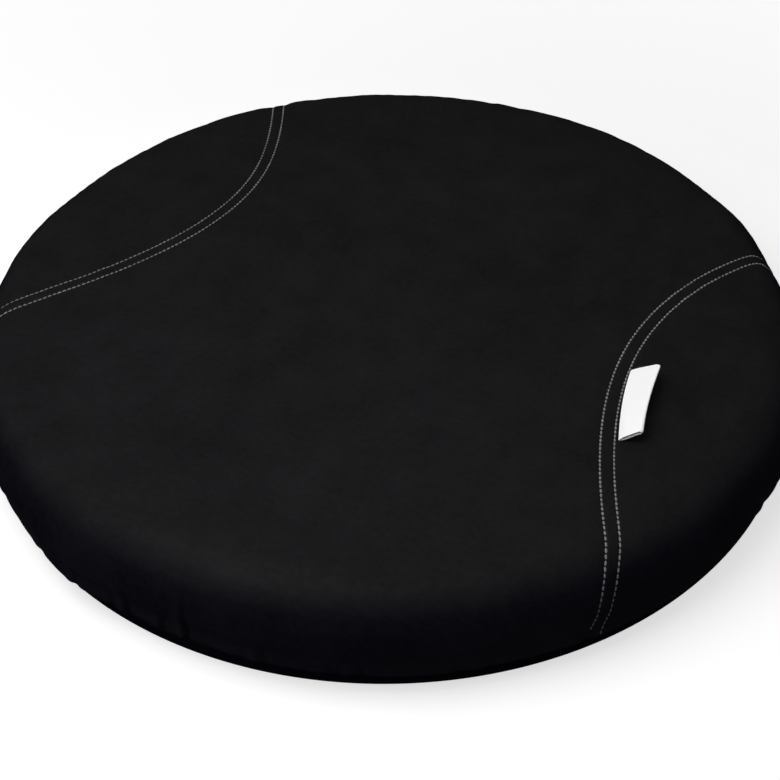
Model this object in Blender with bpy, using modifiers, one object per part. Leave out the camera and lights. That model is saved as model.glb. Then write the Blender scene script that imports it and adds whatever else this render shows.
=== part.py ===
"""Swivel seat cushion: a round padded seat that turns on a moulded base through a ring of balls.

Metres, +Z up. The origin is on the turning axis, on the surface that the cushion stands on.
The centre panel of the cover runs along Y, with a side panel at each end of X.
"""
import math

import bmesh
import bpy
from mathutils import Matrix, Vector

MM = 0.001

# Overall size of the padded seat
CUSHION_RADIUS = 200 * MM
CUSHION_HEIGHT = 52 * MM
CROWN_RISE = 2.4 * MM
SHOULDER_WIDTH = 23 * MM
SHOULDER_DROP = 24.5 * MM
SIDE_WAIST_DEPTH = 2.0 * MM
SIDE_FLARE_DEPTH = 0.8 * MM
SIDE_FOOT_DEPTH = 2.4 * MM
SIDE_WAIST_RISE = 6.5 * MM

# Clearances
FIT_GAP = 0.3 * MM
RUNNING_GAP = 0.6 * MM
TRACK_CLEARANCE = 0.4 * MM

# Non-slip mat
MAT_THICKNESS = 1.5 * MM
MAT_EDGE_MARGIN = 1.0 * MM
MAT_GROOVE_DEPTH = 0.6 * MM
MAT_GROOVE_WIDTH = 3.0 * MM
MAT_GROOVE_RADII = (60 * MM, 110 * MM, 160 * MM)

# Moulded base
BASE_SETBACK = 3.7 * MM
BASE_WALL = 2.2 * MM
BASE_RIM_WIDTH = 4.0 * MM
BASE_RIM_DROP = 1.0 * MM
BASE_RIM_RISE = 2.6 * MM
BASE_RIM_DRAFT = 0.5 * MM
BASE_BOSS_RADIUS = 15 * MM
BASE_BOSS_HEIGHT = 3.2 * MM
BASE_RIB_HEIGHT = 2.0 * MM
RIB_THICKNESS = 1.8 * MM
INNER_RIB_COUNT = 12
OUTER_RIB_COUNT = 24
RIB_END_GAP = 4.0 * MM

# Ball bearing
BALL_DIAMETER = 6.35 * MM
BALL_COUNT = 20
TRACK_RADIUS = 120 * MM
TRACK_HALF_WIDTH = 8 * MM
TRACK_LIP_GAP = 1.4 * MM
TRACK_DRAFT = 1.0 * MM
LOWER_TRACK_FLOOR = 2.7 * MM
UPPER_TRACK_FLOOR = 2.2 * MM
CAGE_THICKNESS = 1.6 * MM
CAGE_HALF_WIDTH = 3.2 * MM
CAGE_POCKET_WALL = 2.2 * MM

# Turntable plate
PLATE_SIDE_GAP = 0.5 * MM
PLATE_WALL = 2.2 * MM
PLATE_RIM_THICKNESS = 1.8 * MM
PLATE_RIM_ROUND = 1.5 * MM
PLATE_BOSS_RADIUS = 16 * MM
PLATE_RIB_HEIGHT = 2.0 * MM
VENT_COUNT = 6
VENT_RADIUS = 9 * MM
VENT_STEPS = 16

# Pivot hardware
BOLT_RADIUS = 4.0 * MM
BOLT_HEAD_RADIUS = 7.2 * MM
BOLT_HEAD_HEIGHT = 2.5 * MM
BOLT_CHAMFER = 0.6 * MM
BOLT_END_ABOVE_NUT = 1.2 * MM
SOCKET_ACROSS_FLATS = 5 * MM
SOCKET_DEPTH = 1.8 * MM
BUSH_WALL = 2.6 * MM
WASHER_RADIUS = 13 * MM
WASHER_THICKNESS = 1.5 * MM
HEXAGON_SIDES = 6
NUT_ACROSS_FLATS = 13 * MM
NUT_HEIGHT = 4.0 * MM
NUT_COLLAR_HEIGHT = 1.8 * MM
NUT_COLLAR_RADIUS = 5.6 * MM

# Foam and cover
COVER_THICKNESS = 1.5 * MM
SEAM_SLIT = 0.4 * MM
SEAM_CENTRE_X = 5.5 * MM
# Seam shapes, left and right: half width at the waist, spread, waist place, waist length, lean
SEAM_SHAPES = {
    -1: (113 * MM, 86 * MM, 32 * MM, 102 * MM, -0.08),
    1: (128.2 * MM, 303 * MM, 87 * MM, 202 * MM, 0.433)}
CUTTER_MARGIN = 40 * MM
HEM_THICKNESS = 0.7 * MM
HEM_CLEARANCE = 1.0 * MM
HEM_INSET = 0.4 * MM
ELASTIC_RADIUS = 0.8 * MM
ELASTIC_INSET = 21 * MM
HEM_ROLL_END_DEGREES = 20
NUT_RECESS_CLEARANCE = 2.0 * MM

# Label
LABEL_LENGTH = 46 * MM
LABEL_WIDTH = 13 * MM
LABEL_THICKNESS = 0.35 * MM
LABEL_LAYER_GAP = 0.5 * MM
LABEL_LIFT_DEGREES = 29
LABEL_Y = -21.5 * MM
LABEL_OFFSET = 4.1 * MM

# Fineness of the turned shapes
ROUND_STEPS = 48
SMALL_STEPS = 20
MAT_STEPS = 36
CROWN_STEPS = 2
SHOULDER_STEPS = 5
GROOVE_STEPS = 5
ROLL_STEPS = 6
ELASTIC_SIDES = 6
SEAM_STEPS = 14
POCKET_STEPS = 12
EYE_STEPS = 8
FOLD_STEPS = 4
BALL_SEGMENTS = 10
BALL_RINGS = 6
SMOOTH_ANGLE = math.radians(30)

# Radii worked out from the cushion and from each other
BASE_RADIUS = CUSHION_RADIUS - BASE_SETBACK
PLATE_RADIUS = CUSHION_RADIUS - SIDE_WAIST_DEPTH - COVER_THICKNESS - PLATE_SIDE_GAP
ELASTIC_RING_RADIUS = PLATE_RADIUS - ELASTIC_INSET
HEM_ROLL_INNER = ELASTIC_RADIUS + FIT_GAP
HEM_ROLL_OUTER = HEM_ROLL_INNER + HEM_THICKNESS
OUTER_RIB_END_RADIUS = ELASTIC_RING_RADIUS - HEM_ROLL_OUTER - RIB_END_GAP
SEAM_REACH = CUSHION_RADIUS + CUTTER_MARGIN

# Heights worked out from the stack of pieces
MAT_TOP = MAT_THICKNESS
BASE_UNDERSIDE = MAT_TOP + FIT_GAP
BASE_TOP = BASE_UNDERSIDE + BASE_WALL
BALL_RADIUS = BALL_DIAMETER / 2
GROOVE_RADIUS = BALL_RADIUS + TRACK_CLEARANCE
BALL_CENTRE_Z = BASE_UNDERSIDE + LOWER_TRACK_FLOOR + GROOVE_RADIUS
LOWER_TRACK_TOP = BALL_CENTRE_Z - TRACK_LIP_GAP
UPPER_TRACK_BOTTOM = BALL_CENTRE_Z + TRACK_LIP_GAP
PLATE_TOP = BALL_CENTRE_Z + GROOVE_RADIUS + UPPER_TRACK_FLOOR
PLATE_UNDERSIDE = PLATE_TOP - PLATE_WALL
BOSS_TOP = BASE_TOP + BASE_BOSS_HEIGHT
HEAD_BOTTOM = BASE_UNDERSIDE + FIT_GAP
HEAD_TOP = HEAD_BOTTOM + BOLT_HEAD_HEIGHT
BUSH_BOTTOM = BOSS_TOP + FIT_GAP
BUSH_TOP = PLATE_TOP + FIT_GAP
BUSH_BORE = BOLT_RADIUS + FIT_GAP
BUSH_RADIUS = BUSH_BORE + BUSH_WALL
PLATE_BORE = BUSH_RADIUS + FIT_GAP
PLATE_BOSS_BOTTOM = BUSH_BOTTOM + RUNNING_GAP
WASHER_BOTTOM = BUSH_TOP + FIT_GAP
WASHER_TOP = WASHER_BOTTOM + WASHER_THICKNESS
NUT_BOTTOM = WASHER_TOP + FIT_GAP
NUT_TOP = NUT_BOTTOM + NUT_HEIGHT + NUT_COLLAR_HEIGHT
BOLT_TOP = NUT_TOP + BOLT_END_ABOVE_NUT
FOAM_BOTTOM = PLATE_TOP + FIT_GAP
RECESS_TOP = BOLT_TOP + NUT_RECESS_CLEARANCE
RECESS_RADIUS = WASHER_RADIUS + NUT_RECESS_CLEARANCE
HEM_BOTTOM = BASE_TOP + BASE_RIM_RISE + HEM_CLEARANCE
HEM_TOP = HEM_BOTTOM + HEM_THICKNESS
PANEL_BOTTOM = HEM_TOP + FIT_GAP
PLATE_RIM_BOTTOM = PANEL_BOTTOM + FIT_GAP


def remove_old_objects():
    for obj in list(bpy.data.objects):
        bpy.data.objects.remove(obj, do_unlink=True)


def new_collection(name):
    collection = bpy.data.collections.new(name)
    bpy.context.scene.collection.children.link(collection)
    return collection


remove_old_objects()
PARTS = new_collection("swivel_seat_cushion")
CUTTERS = new_collection("cutters")


def make_material(name, colour, roughness, metallic=0.0):
    material = bpy.data.materials.new(name)
    material.use_nodes = True
    shader = material.node_tree.nodes["Principled BSDF"]
    shader.inputs["Base Color"].default_value = (*colour, 1.0)
    shader.inputs["Roughness"].default_value = roughness
    shader.inputs["Metallic"].default_value = metallic
    return material


def add_object(name, mesh, collection):
    obj = bpy.data.objects.new(name, mesh)
    collection.objects.link(obj)
    return obj


def settle(obj):
    """Turn the evaluated shape into the object's own plain mesh."""
    depsgraph = bpy.context.evaluated_depsgraph_get()
    mesh = bpy.data.meshes.new_from_object(obj.evaluated_get(depsgraph))
    obj.modifiers.clear()
    obj.data = mesh
    return obj


def finish_part(obj, material):
    """Give a part its material and its smooth shading."""
    settle(obj)
    obj.data.materials.clear()
    obj.data.materials.append(material)
    obj.data.shade_smooth()
    obj.data.set_sharp_from_angle(angle=SMOOTH_ANGLE)
    return obj


def as_cutter(obj):
    obj.hide_render = True
    obj.display_type = 'WIRE'
    return obj


def turned(name, profile, steps=ROUND_STEPS, collection=None):
    """Turn a profile of (radius, height) points, which runs down its outer side, about Z."""
    mesh = bpy.data.meshes.new(name)
    points = [(radius, 0.0, height) for radius, height in profile]
    edges = [(i, i + 1) for i in range(len(points) - 1)]
    if profile[0][0] > 0 or profile[-1][0] > 0:
        edges.append((len(points) - 1, 0))
    mesh.from_pydata(points, edges, [])
    obj = add_object(name, mesh, collection or PARTS)
    screw = obj.modifiers.new("Turn", 'SCREW')
    screw.steps = steps
    screw.render_steps = steps
    screw.use_merge_vertices = True
    screw.merge_threshold = 0.00001
    return settle(obj)


def boolean(obj, other, operation):
    modifier = obj.modifiers.new(operation.title(), 'BOOLEAN')
    modifier.operation = operation
    modifier.object = other
    modifier.solver = 'EXACT'
    return settle(obj)


def repeated(name, make_one, count, start_angle=0.0):
    """Join copies of one shape, spaced evenly round Z, into a single cutter mesh."""
    mesh = bmesh.new()
    for i in range(count):
        turn = Matrix.Rotation(start_angle + i * math.tau / count, 4, 'Z')
        make_one(mesh, turn)
    data = bpy.data.meshes.new(name)
    mesh.to_mesh(data)
    mesh.free()
    return as_cutter(add_object(name, data, CUTTERS))


def add_box(mesh, turn, x_range, thickness, z_range):
    """Add a box that lies along X, turned to its place round Z."""
    size = (x_range[1] - x_range[0], thickness, z_range[1] - z_range[0])
    centre = ((x_range[0] + x_range[1]) / 2, 0, (z_range[0] + z_range[1]) / 2)
    place = turn @ Matrix.Translation(centre) @ Matrix.Diagonal((*size, 1.0))
    bmesh.ops.create_cube(mesh, size=1.0, matrix=place)


def add_cylinder(mesh, turn, radius, ring_radius, z_range, segments):
    """Add an upright cylinder on a ring of the given radius."""
    centre = (ring_radius, 0, (z_range[0] + z_range[1]) / 2)
    bmesh.ops.create_cone(
        mesh, cap_ends=True, segments=segments, radius1=radius, radius2=radius,
        depth=z_range[1] - z_range[0], matrix=turn @ Matrix.Translation(centre))


def arc(centre, radius, start, end, steps):
    """Points on an arc in a profile, with angles in degrees."""
    points = []
    for i in range(steps + 1):
        angle = math.radians(start + (end - start) * i / steps)
        points.append((centre[0] + radius * math.cos(angle), centre[1] + radius * math.sin(angle)))
    return points


def groove(lip_height):
    """Arc of a ball track's groove, between its two lips at the given height."""
    lip = math.degrees(math.asin((lip_height - BALL_CENTRE_Z) / GROOVE_RADIUS))
    centre = (TRACK_RADIUS, BALL_CENTRE_Z)
    start = -180 - lip if lip < 0 else lip
    end = lip if lip < 0 else 180 - lip
    return arc(centre, GROOVE_RADIUS, start, end, GROOVE_STEPS)


def offset_inwards(profile, distance):
    """Move each point of an outer profile inwards, square to the profile."""
    moved = []
    last = len(profile) - 1
    for i, point in enumerate(profile):
        before = Vector(profile[max(i - 1, 0)])
        here = Vector(point)
        after = Vector(profile[min(i + 1, last)])
        directions = [step.normalized() for step in (here - before, after - here) if step.length > 0]
        normals = [Vector((-step.y, step.x)) for step in directions]
        mean = sum(normals, Vector((0, 0))).normalized()
        inward = here - mean * distance / mean.dot(normals[0])
        moved.append((inward.x, inward.y))
    moved[0] = (0.0, profile[0][1] - distance)
    return moved


def cover_profile():
    """Outer half section of the cover, from the middle of the top to the foot of the side."""
    flat_radius = CUSHION_RADIUS - SHOULDER_WIDTH
    shoulder_top = CUSHION_HEIGHT - CROWN_RISE
    shoulder_foot = shoulder_top - SHOULDER_DROP
    points = []
    for i in range(CROWN_STEPS + 1):
        u = i / CROWN_STEPS
        points.append((flat_radius * u, CUSHION_HEIGHT - CROWN_RISE * u * u))
    for i in range(1, SHOULDER_STEPS + 1):
        angle = math.pi / 2 * (1 - i / SHOULDER_STEPS)
        points.append((flat_radius + SHOULDER_WIDTH * math.cos(angle),
                       shoulder_foot + SHOULDER_DROP * math.sin(angle)))
    waist_height = PLATE_UNDERSIDE + SIDE_WAIST_RISE
    flare_height = (PLATE_UNDERSIDE + PANEL_BOTTOM) / 2
    points.append((CUSHION_RADIUS - SIDE_WAIST_DEPTH, waist_height))
    points.append((CUSHION_RADIUS - SIDE_FLARE_DEPTH, flare_height))
    points.append((CUSHION_RADIUS - SIDE_FOOT_DEPTH, PANEL_BOTTOM))
    return points


def cover_height(radius):
    """Height of the cover's crowned top at a radius."""
    share = radius / (CUSHION_RADIUS - SHOULDER_WIDTH)
    return CUSHION_HEIGHT - CROWN_RISE * share * share


def seam_x(side, y):
    """Where a seam lies across X: side is 1 for the right seam and -1 for the left one."""
    half_width, spread, waist_y, waist_length, lean = SEAM_SHAPES[side]
    stretch = math.hypot(1, (y - waist_y) / waist_length) - 1
    return SEAM_CENTRE_X + side * (half_width + spread * stretch) + lean * (y - waist_y)


def seam_line(side, gap):
    """Points along a seam, moved by the gap towards the side panel."""
    points = []
    for i in range(SEAM_STEPS + 1):
        y = -SEAM_REACH + 2 * SEAM_REACH * i / SEAM_STEPS
        points.append((seam_x(side, y) + side * gap, y))
    return points


def flat_cutter(name, outline):
    """Upright block with the given outline, tall enough to pass through the whole cushion."""
    curve = bpy.data.curves.new(name, 'CURVE')
    curve.dimensions = '2D'
    curve.fill_mode = 'BOTH'
    curve.extrude = CUSHION_HEIGHT
    spline = curve.splines.new('POLY')
    spline.points.add(len(outline) - 1)
    for point, (x, y) in zip(spline.points, outline):
        point.co = (x, y, 0, 1)
    spline.use_cyclic_u = True
    guide = add_object(name + "_outline", curve, CUTTERS)
    depsgraph = bpy.context.evaluated_depsgraph_get()
    mesh = bpy.data.meshes.new_from_object(guide.evaluated_get(depsgraph))
    bpy.data.objects.remove(guide, do_unlink=True)
    work = bmesh.new()
    work.from_mesh(mesh)
    bmesh.ops.remove_doubles(work, verts=work.verts, dist=0.00001)
    bmesh.ops.recalc_face_normals(work, faces=work.faces)
    work.to_mesh(mesh)
    work.free()
    return as_cutter(add_object(name, mesh, CUTTERS))


RUBBER = make_material("mat_rubber", (0.02, 0.02, 0.02), 0.85)
BASE_PLASTIC = make_material("base_plastic", (0.012, 0.012, 0.013), 0.45)
PLATE_PLASTIC = make_material("plate_plastic", (0.025, 0.025, 0.027), 0.5)
CAGE_PLASTIC = make_material("cage_plastic", (0.75, 0.74, 0.7), 0.4)
BUSH_PLASTIC = make_material("bush_plastic", (0.82, 0.81, 0.77), 0.35)
BEARING_STEEL = make_material("bearing_steel", (0.62, 0.62, 0.63), 0.15, 1.0)
ZINC_STEEL = make_material("zinc_steel", (0.55, 0.55, 0.53), 0.35, 1.0)
FOAM = make_material("foam", (0.72, 0.7, 0.62), 0.95)
COVER_FABRIC = make_material("cover_fabric", (0.011, 0.011, 0.012), 0.8)
HEM_FABRIC = make_material("hem_fabric", (0.01, 0.01, 0.01), 0.85)
ELASTIC = make_material("elastic", (0.02, 0.02, 0.02), 0.8)
LABEL_TAPE = make_material("label_tape", (0.8, 0.8, 0.8), 0.7)


def make_grip_mat():
    radius = BASE_RADIUS - BASE_RIM_WIDTH - MAT_EDGE_MARGIN
    profile = [(0.0, MAT_TOP), (radius, MAT_TOP), (radius, 0.0)]
    for middle in sorted(MAT_GROOVE_RADII, reverse=True):
        outer = middle + MAT_GROOVE_WIDTH / 2
        inner = middle - MAT_GROOVE_WIDTH / 2
        profile += [(outer, 0.0), (outer, MAT_GROOVE_DEPTH), (inner, MAT_GROOVE_DEPTH), (inner, 0.0)]
    profile.append((0.0, 0.0))
    return finish_part(turned("grip_mat", profile, MAT_STEPS), RUBBER)


def make_base_disc():
    rim_bottom = BASE_UNDERSIDE - BASE_RIM_DROP
    rim_top = BASE_TOP + BASE_RIM_RISE
    edge_round = (rim_top - rim_bottom) / 4
    rim_inner = BASE_RADIUS - BASE_RIM_WIDTH
    head_recess = BOLT_HEAD_RADIUS + FIT_GAP
    ledge = HEAD_TOP + FIT_GAP
    bolt_hole = BOLT_RADIUS + FIT_GAP
    track_inner = TRACK_RADIUS - TRACK_HALF_WIDTH
    track_outer = TRACK_RADIUS + TRACK_HALF_WIDTH
    profile = [
        (BASE_RADIUS - edge_round, rim_top), (BASE_RADIUS, rim_top - edge_round),
        (BASE_RADIUS, rim_bottom + edge_round), (BASE_RADIUS - edge_round, rim_bottom),
        (rim_inner, rim_bottom), (rim_inner, BASE_UNDERSIDE),
        (head_recess, BASE_UNDERSIDE), (head_recess, ledge), (bolt_hole, ledge), (bolt_hole, BOSS_TOP),
        (BASE_BOSS_RADIUS - TRACK_DRAFT, BOSS_TOP), (BASE_BOSS_RADIUS, BASE_TOP),
        (track_inner - TRACK_DRAFT, BASE_TOP), (track_inner, LOWER_TRACK_TOP)]
    profile += groove(LOWER_TRACK_TOP)
    profile += [
        (track_outer, LOWER_TRACK_TOP), (track_outer + TRACK_DRAFT, BASE_TOP),
        (rim_inner, BASE_TOP), (rim_inner + BASE_RIM_DRAFT, rim_top)]
    disc = turned("base_disc", profile)
    heights = (BASE_TOP - BASE_WALL / 2, BASE_TOP + BASE_RIB_HEIGHT)
    inner_span = (BASE_BOSS_RADIUS - TRACK_DRAFT, track_inner)
    outer_span = (track_outer, OUTER_RIB_END_RADIUS)
    add_ribs(disc, inner_span, outer_span, heights)
    return finish_part(disc, BASE_PLASTIC)


def add_ribs(disc, inner_span, outer_span, heights):
    """Radial ribs from the boss to the ball track, and from the track towards the rim."""
    rib_sets = ((inner_span, INNER_RIB_COUNT, "inner"), (outer_span, OUTER_RIB_COUNT, "outer"))
    for span, count, label in rib_sets:
        def one_rib(mesh, turn, span=span):
            add_box(mesh, turn, span, RIB_THICKNESS, heights)
        half_step = math.pi / ROUND_STEPS
        ribs = repeated(f"{disc.name}_{label}_ribs", one_rib, count, half_step)
        boolean(disc, ribs, 'UNION')


def make_turntable_plate():
    rim_inner = PLATE_RADIUS - PLATE_RIM_THICKNESS
    track_inner = TRACK_RADIUS - TRACK_HALF_WIDTH
    track_outer = TRACK_RADIUS + TRACK_HALF_WIDTH
    profile = arc((PLATE_RADIUS - PLATE_RIM_ROUND, PLATE_TOP - PLATE_RIM_ROUND), PLATE_RIM_ROUND, 90, 0, 2)
    profile += [
        (PLATE_RADIUS, PLATE_RIM_BOTTOM), (rim_inner, PLATE_RIM_BOTTOM), (rim_inner, PLATE_UNDERSIDE),
        (track_outer + TRACK_DRAFT, PLATE_UNDERSIDE), (track_outer, UPPER_TRACK_BOTTOM)]
    profile += groove(UPPER_TRACK_BOTTOM)
    profile += [
        (track_inner, UPPER_TRACK_BOTTOM), (track_inner - TRACK_DRAFT, PLATE_UNDERSIDE),
        (PLATE_BOSS_RADIUS, PLATE_UNDERSIDE), (PLATE_BOSS_RADIUS - TRACK_DRAFT, PLATE_BOSS_BOTTOM),
        (PLATE_BORE, PLATE_BOSS_BOTTOM), (PLATE_BORE, PLATE_TOP)]
    plate = turned("turntable_plate", profile)
    heights = (PLATE_UNDERSIDE - PLATE_RIB_HEIGHT, PLATE_TOP - PLATE_WALL / 2)
    inner_span = (PLATE_BOSS_RADIUS - TRACK_DRAFT, track_inner)
    outer_span = (track_outer, OUTER_RIB_END_RADIUS)
    add_ribs(plate, inner_span, outer_span, heights)
    vent_ring = (PLATE_BOSS_RADIUS + track_inner) / 2
    through = (PLATE_UNDERSIDE - PLATE_WALL, PLATE_TOP + PLATE_WALL)

    def one_vent(mesh, turn):
        add_cylinder(mesh, turn, VENT_RADIUS, vent_ring, through, VENT_STEPS)

    between_ribs = math.pi / ROUND_STEPS + math.pi / INNER_RIB_COUNT
    boolean(plate, repeated("plate_vents", one_vent, VENT_COUNT, between_ribs), 'DIFFERENCE')
    return finish_part(plate, PLATE_PLASTIC)


def make_ball_cage():
    heights = (BALL_CENTRE_Z - CAGE_THICKNESS / 2, BALL_CENTRE_Z + CAGE_THICKNESS / 2)
    outer = TRACK_RADIUS + CAGE_HALF_WIDTH
    inner = TRACK_RADIUS - CAGE_HALF_WIDTH
    bottom, top = heights
    cage = turned("ball_cage", [(outer, top), (outer, bottom), (inner, bottom), (inner, top)])
    pocket_radius = BALL_RADIUS + FIT_GAP
    pocket_corner_radius = pocket_radius / math.cos(math.pi / POCKET_STEPS)

    def one_eye(mesh, turn):
        add_cylinder(mesh, turn, pocket_radius + CAGE_POCKET_WALL, TRACK_RADIUS, heights, EYE_STEPS)

    def one_pocket(mesh, turn):
        through = (heights[0] - CAGE_THICKNESS, heights[1] + CAGE_THICKNESS)
        add_cylinder(mesh, turn, pocket_corner_radius, TRACK_RADIUS, through, POCKET_STEPS)

    boolean(cage, repeated("cage_eyes", one_eye, BALL_COUNT), 'UNION')
    boolean(cage, repeated("cage_pockets", one_pocket, BALL_COUNT), 'DIFFERENCE')
    return finish_part(cage, CAGE_PLASTIC)


def make_balls():
    work = bmesh.new()
    bmesh.ops.create_uvsphere(work, u_segments=BALL_SEGMENTS, v_segments=BALL_RINGS, radius=BALL_RADIUS)
    mesh = bpy.data.meshes.new("ball")
    work.to_mesh(mesh)
    work.free()
    mesh.materials.append(BEARING_STEEL)
    mesh.shade_smooth()
    for i in range(BALL_COUNT):
        angle = i * math.tau / BALL_COUNT
        ball = add_object(f"ball_{i + 1:02d}", mesh, PARTS)
        ball.location = (TRACK_RADIUS * math.cos(angle), TRACK_RADIUS * math.sin(angle), BALL_CENTRE_Z)


def make_pivot_bolt():
    profile = [
        (0.0, BOLT_TOP), (BOLT_RADIUS - BOLT_CHAMFER, BOLT_TOP), (BOLT_RADIUS, BOLT_TOP - BOLT_CHAMFER),
        (BOLT_RADIUS, HEAD_TOP), (BOLT_HEAD_RADIUS, HEAD_TOP),
        (BOLT_HEAD_RADIUS, HEAD_BOTTOM + BOLT_CHAMFER), (BOLT_HEAD_RADIUS - BOLT_CHAMFER, HEAD_BOTTOM),
        (0.0, HEAD_BOTTOM)]
    bolt = turned("pivot_bolt", profile, SMALL_STEPS)
    corner_radius = SOCKET_ACROSS_FLATS / 2 / math.cos(math.pi / HEXAGON_SIDES)
    heights = (HEAD_BOTTOM - SOCKET_DEPTH, HEAD_BOTTOM + SOCKET_DEPTH)

    def socket(mesh, turn):
        add_cylinder(mesh, turn, corner_radius, 0.0, heights, HEXAGON_SIDES)

    boolean(bolt, repeated("bolt_socket", socket, 1), 'DIFFERENCE')
    return finish_part(bolt, ZINC_STEEL)


def make_ring(name, outer, bore, bottom, top, material):
    profile = [(outer, top), (outer, bottom), (bore, bottom), (bore, top)]
    return finish_part(turned(name, profile, SMALL_STEPS), material)


def make_lock_nut():
    """Hexagon body with a round locking collar, bored for the bolt."""
    hexagon = bmesh.new()
    corner_radius = NUT_ACROSS_FLATS / 2 / math.cos(math.pi / HEXAGON_SIDES)
    heights = (NUT_BOTTOM, NUT_BOTTOM + NUT_HEIGHT)
    add_cylinder(hexagon, Matrix.Identity(4), corner_radius, 0.0, heights, HEXAGON_SIDES)
    mesh = bpy.data.meshes.new("lock_nut")
    hexagon.to_mesh(mesh)
    hexagon.free()
    nut = add_object("lock_nut", mesh, PARTS)
    collar_bottom = NUT_BOTTOM + NUT_HEIGHT / 2
    collar = turned("nut_collar", [(0.0, NUT_TOP), (NUT_COLLAR_RADIUS - BOLT_CHAMFER, NUT_TOP),
                                   (NUT_COLLAR_RADIUS, NUT_TOP - BOLT_CHAMFER),
                                   (NUT_COLLAR_RADIUS, collar_bottom), (0.0, collar_bottom)],
                    SMALL_STEPS, CUTTERS)
    boolean(nut, as_cutter(collar), 'UNION')
    bore_radius = BOLT_RADIUS + FIT_GAP
    bore = turned("nut_bore", [(0.0, NUT_TOP + NUT_HEIGHT), (bore_radius, NUT_TOP + NUT_HEIGHT),
                               (bore_radius, NUT_BOTTOM - NUT_HEIGHT), (0.0, NUT_BOTTOM - NUT_HEIGHT)],
                  SMALL_STEPS, CUTTERS)
    boolean(nut, as_cutter(bore), 'DIFFERENCE')
    return finish_part(nut, ZINC_STEEL)


def make_foam_core():
    inside = offset_inwards(cover_profile(), COVER_THICKNESS + FIT_GAP)
    sides = [point for point in inside if point[1] > FOAM_BOTTOM + FIT_GAP]
    below = inside[len(sides)]
    above = sides[-1]
    share = (above[1] - FOAM_BOTTOM) / (above[1] - below[1])
    foot_radius = above[0] + (below[0] - above[0]) * share
    profile = sides + [
        (foot_radius, FOAM_BOTTOM), (RECESS_RADIUS, FOAM_BOTTOM),
        (RECESS_RADIUS, RECESS_TOP), (0.0, RECESS_TOP)]
    return finish_part(turned("foam_core", profile), FOAM)


def make_cover_panels():
    """The cover is one turned shell, parted along the two seams."""
    outer = cover_profile()
    inner = offset_inwards(outer, COVER_THICKNESS)
    inner[-1] = (inner[-1][0], PANEL_BOTTOM)
    profile = outer + inner[::-1]
    far = max(abs(seam_x(side, y)) for side in (1, -1) for y in (SEAM_REACH, -SEAM_REACH)) + CUTTER_MARGIN
    half_slit = SEAM_SLIT / 2
    outlines = {
        "cover_centre_panel": seam_line(1, -half_slit) + seam_line(-1, -half_slit)[::-1],
        "cover_right_panel": seam_line(1, half_slit)[::-1] + [(far, -far), (far, far)],
        "cover_left_panel": seam_line(-1, half_slit) + [(-far, far), (-far, -far)]}
    for name, outline in outlines.items():
        panel = turned(name, profile)
        boolean(panel, flat_cutter(name + "_area", outline), 'INTERSECT')
        finish_part(panel, COVER_FABRIC)


def make_hem_binding():
    """Fabric strip under the plate, rolled round the elastic at its inner edge."""
    outer_radius = CUSHION_RADIUS - SIDE_FOOT_DEPTH - HEM_INSET
    centre = (ELASTIC_RING_RADIUS, HEM_BOTTOM + HEM_ROLL_OUTER)
    profile = [(outer_radius, HEM_TOP), (outer_radius, HEM_BOTTOM)]
    profile += arc(centre, HEM_ROLL_OUTER, 270, HEM_ROLL_END_DEGREES, ROLL_STEPS)
    profile += arc(centre, HEM_ROLL_INNER, HEM_ROLL_END_DEGREES, 270, ROLL_STEPS)
    return finish_part(turned("hem_binding", profile), HEM_FABRIC)


def make_hem_elastic():
    centre_z = HEM_BOTTOM + HEM_ROLL_OUTER
    profile = arc((ELASTIC_RING_RADIUS, centre_z), ELASTIC_RADIUS, 0, -360, ELASTIC_SIDES)[:-1]
    return finish_part(turned("hem_elastic", profile), ELASTIC)


def make_folded_label():
    """Tape folded double, its two edges held at the seam and its fold standing off the cover."""
    layer = LABEL_THICKNESS
    rise = layer + LABEL_LAYER_GAP
    fold_centre = (LABEL_WIDTH - rise / 2, FIT_GAP + layer / 2 + rise / 2)
    section = [(0.0, FIT_GAP + layer / 2)]
    section += arc(fold_centre, rise / 2, -90, 90, FOLD_STEPS)
    section += [(0.0, FIT_GAP + layer / 2 + rise)]
    mesh = bpy.data.meshes.new("folded_label")
    half = LABEL_LENGTH / 2
    points = [(u, v, w) for v in (-half, half) for u, w in section]
    count = len(section)
    faces = [(i, i + 1, count + i + 1, count + i) for i in range(count - 1)]
    mesh.from_pydata(points, [], faces)
    label = add_object("folded_label", mesh, PARTS)
    solid = label.modifiers.new("Tape", 'SOLIDIFY')
    solid.thickness = layer
    solid.offset = 0.0
    near_y = LABEL_Y - half
    far_y = LABEL_Y + half
    along = Vector((seam_x(1, far_y) - seam_x(1, near_y), far_y - near_y, 0)).normalized()
    across = Vector((along.y, -along.x, 0))
    start = Vector((seam_x(1, LABEL_Y), LABEL_Y, 0)) + across * LABEL_OFFSET
    middle = start + across * LABEL_WIDTH / 2
    slope = 2 * CROWN_RISE * middle.length / (CUSHION_RADIUS - SHOULDER_WIDTH) ** 2
    outwards = middle.normalized()
    up = (Vector((0, 0, 1)) + outwards * slope).normalized()
    along = (along - up * along.dot(up)).normalized()
    across = along.cross(up)
    corner = Vector((middle.x, middle.y, cover_height(middle.length))) - across * LABEL_WIDTH / 2
    frame = Matrix((across, along, up)).transposed().to_4x4()
    lift = Matrix.Rotation(-math.radians(LABEL_LIFT_DEGREES), 4, 'Y')
    label.matrix_world = Matrix.Translation(corner) @ frame @ lift
    return finish_part(label, LABEL_TAPE)


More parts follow.
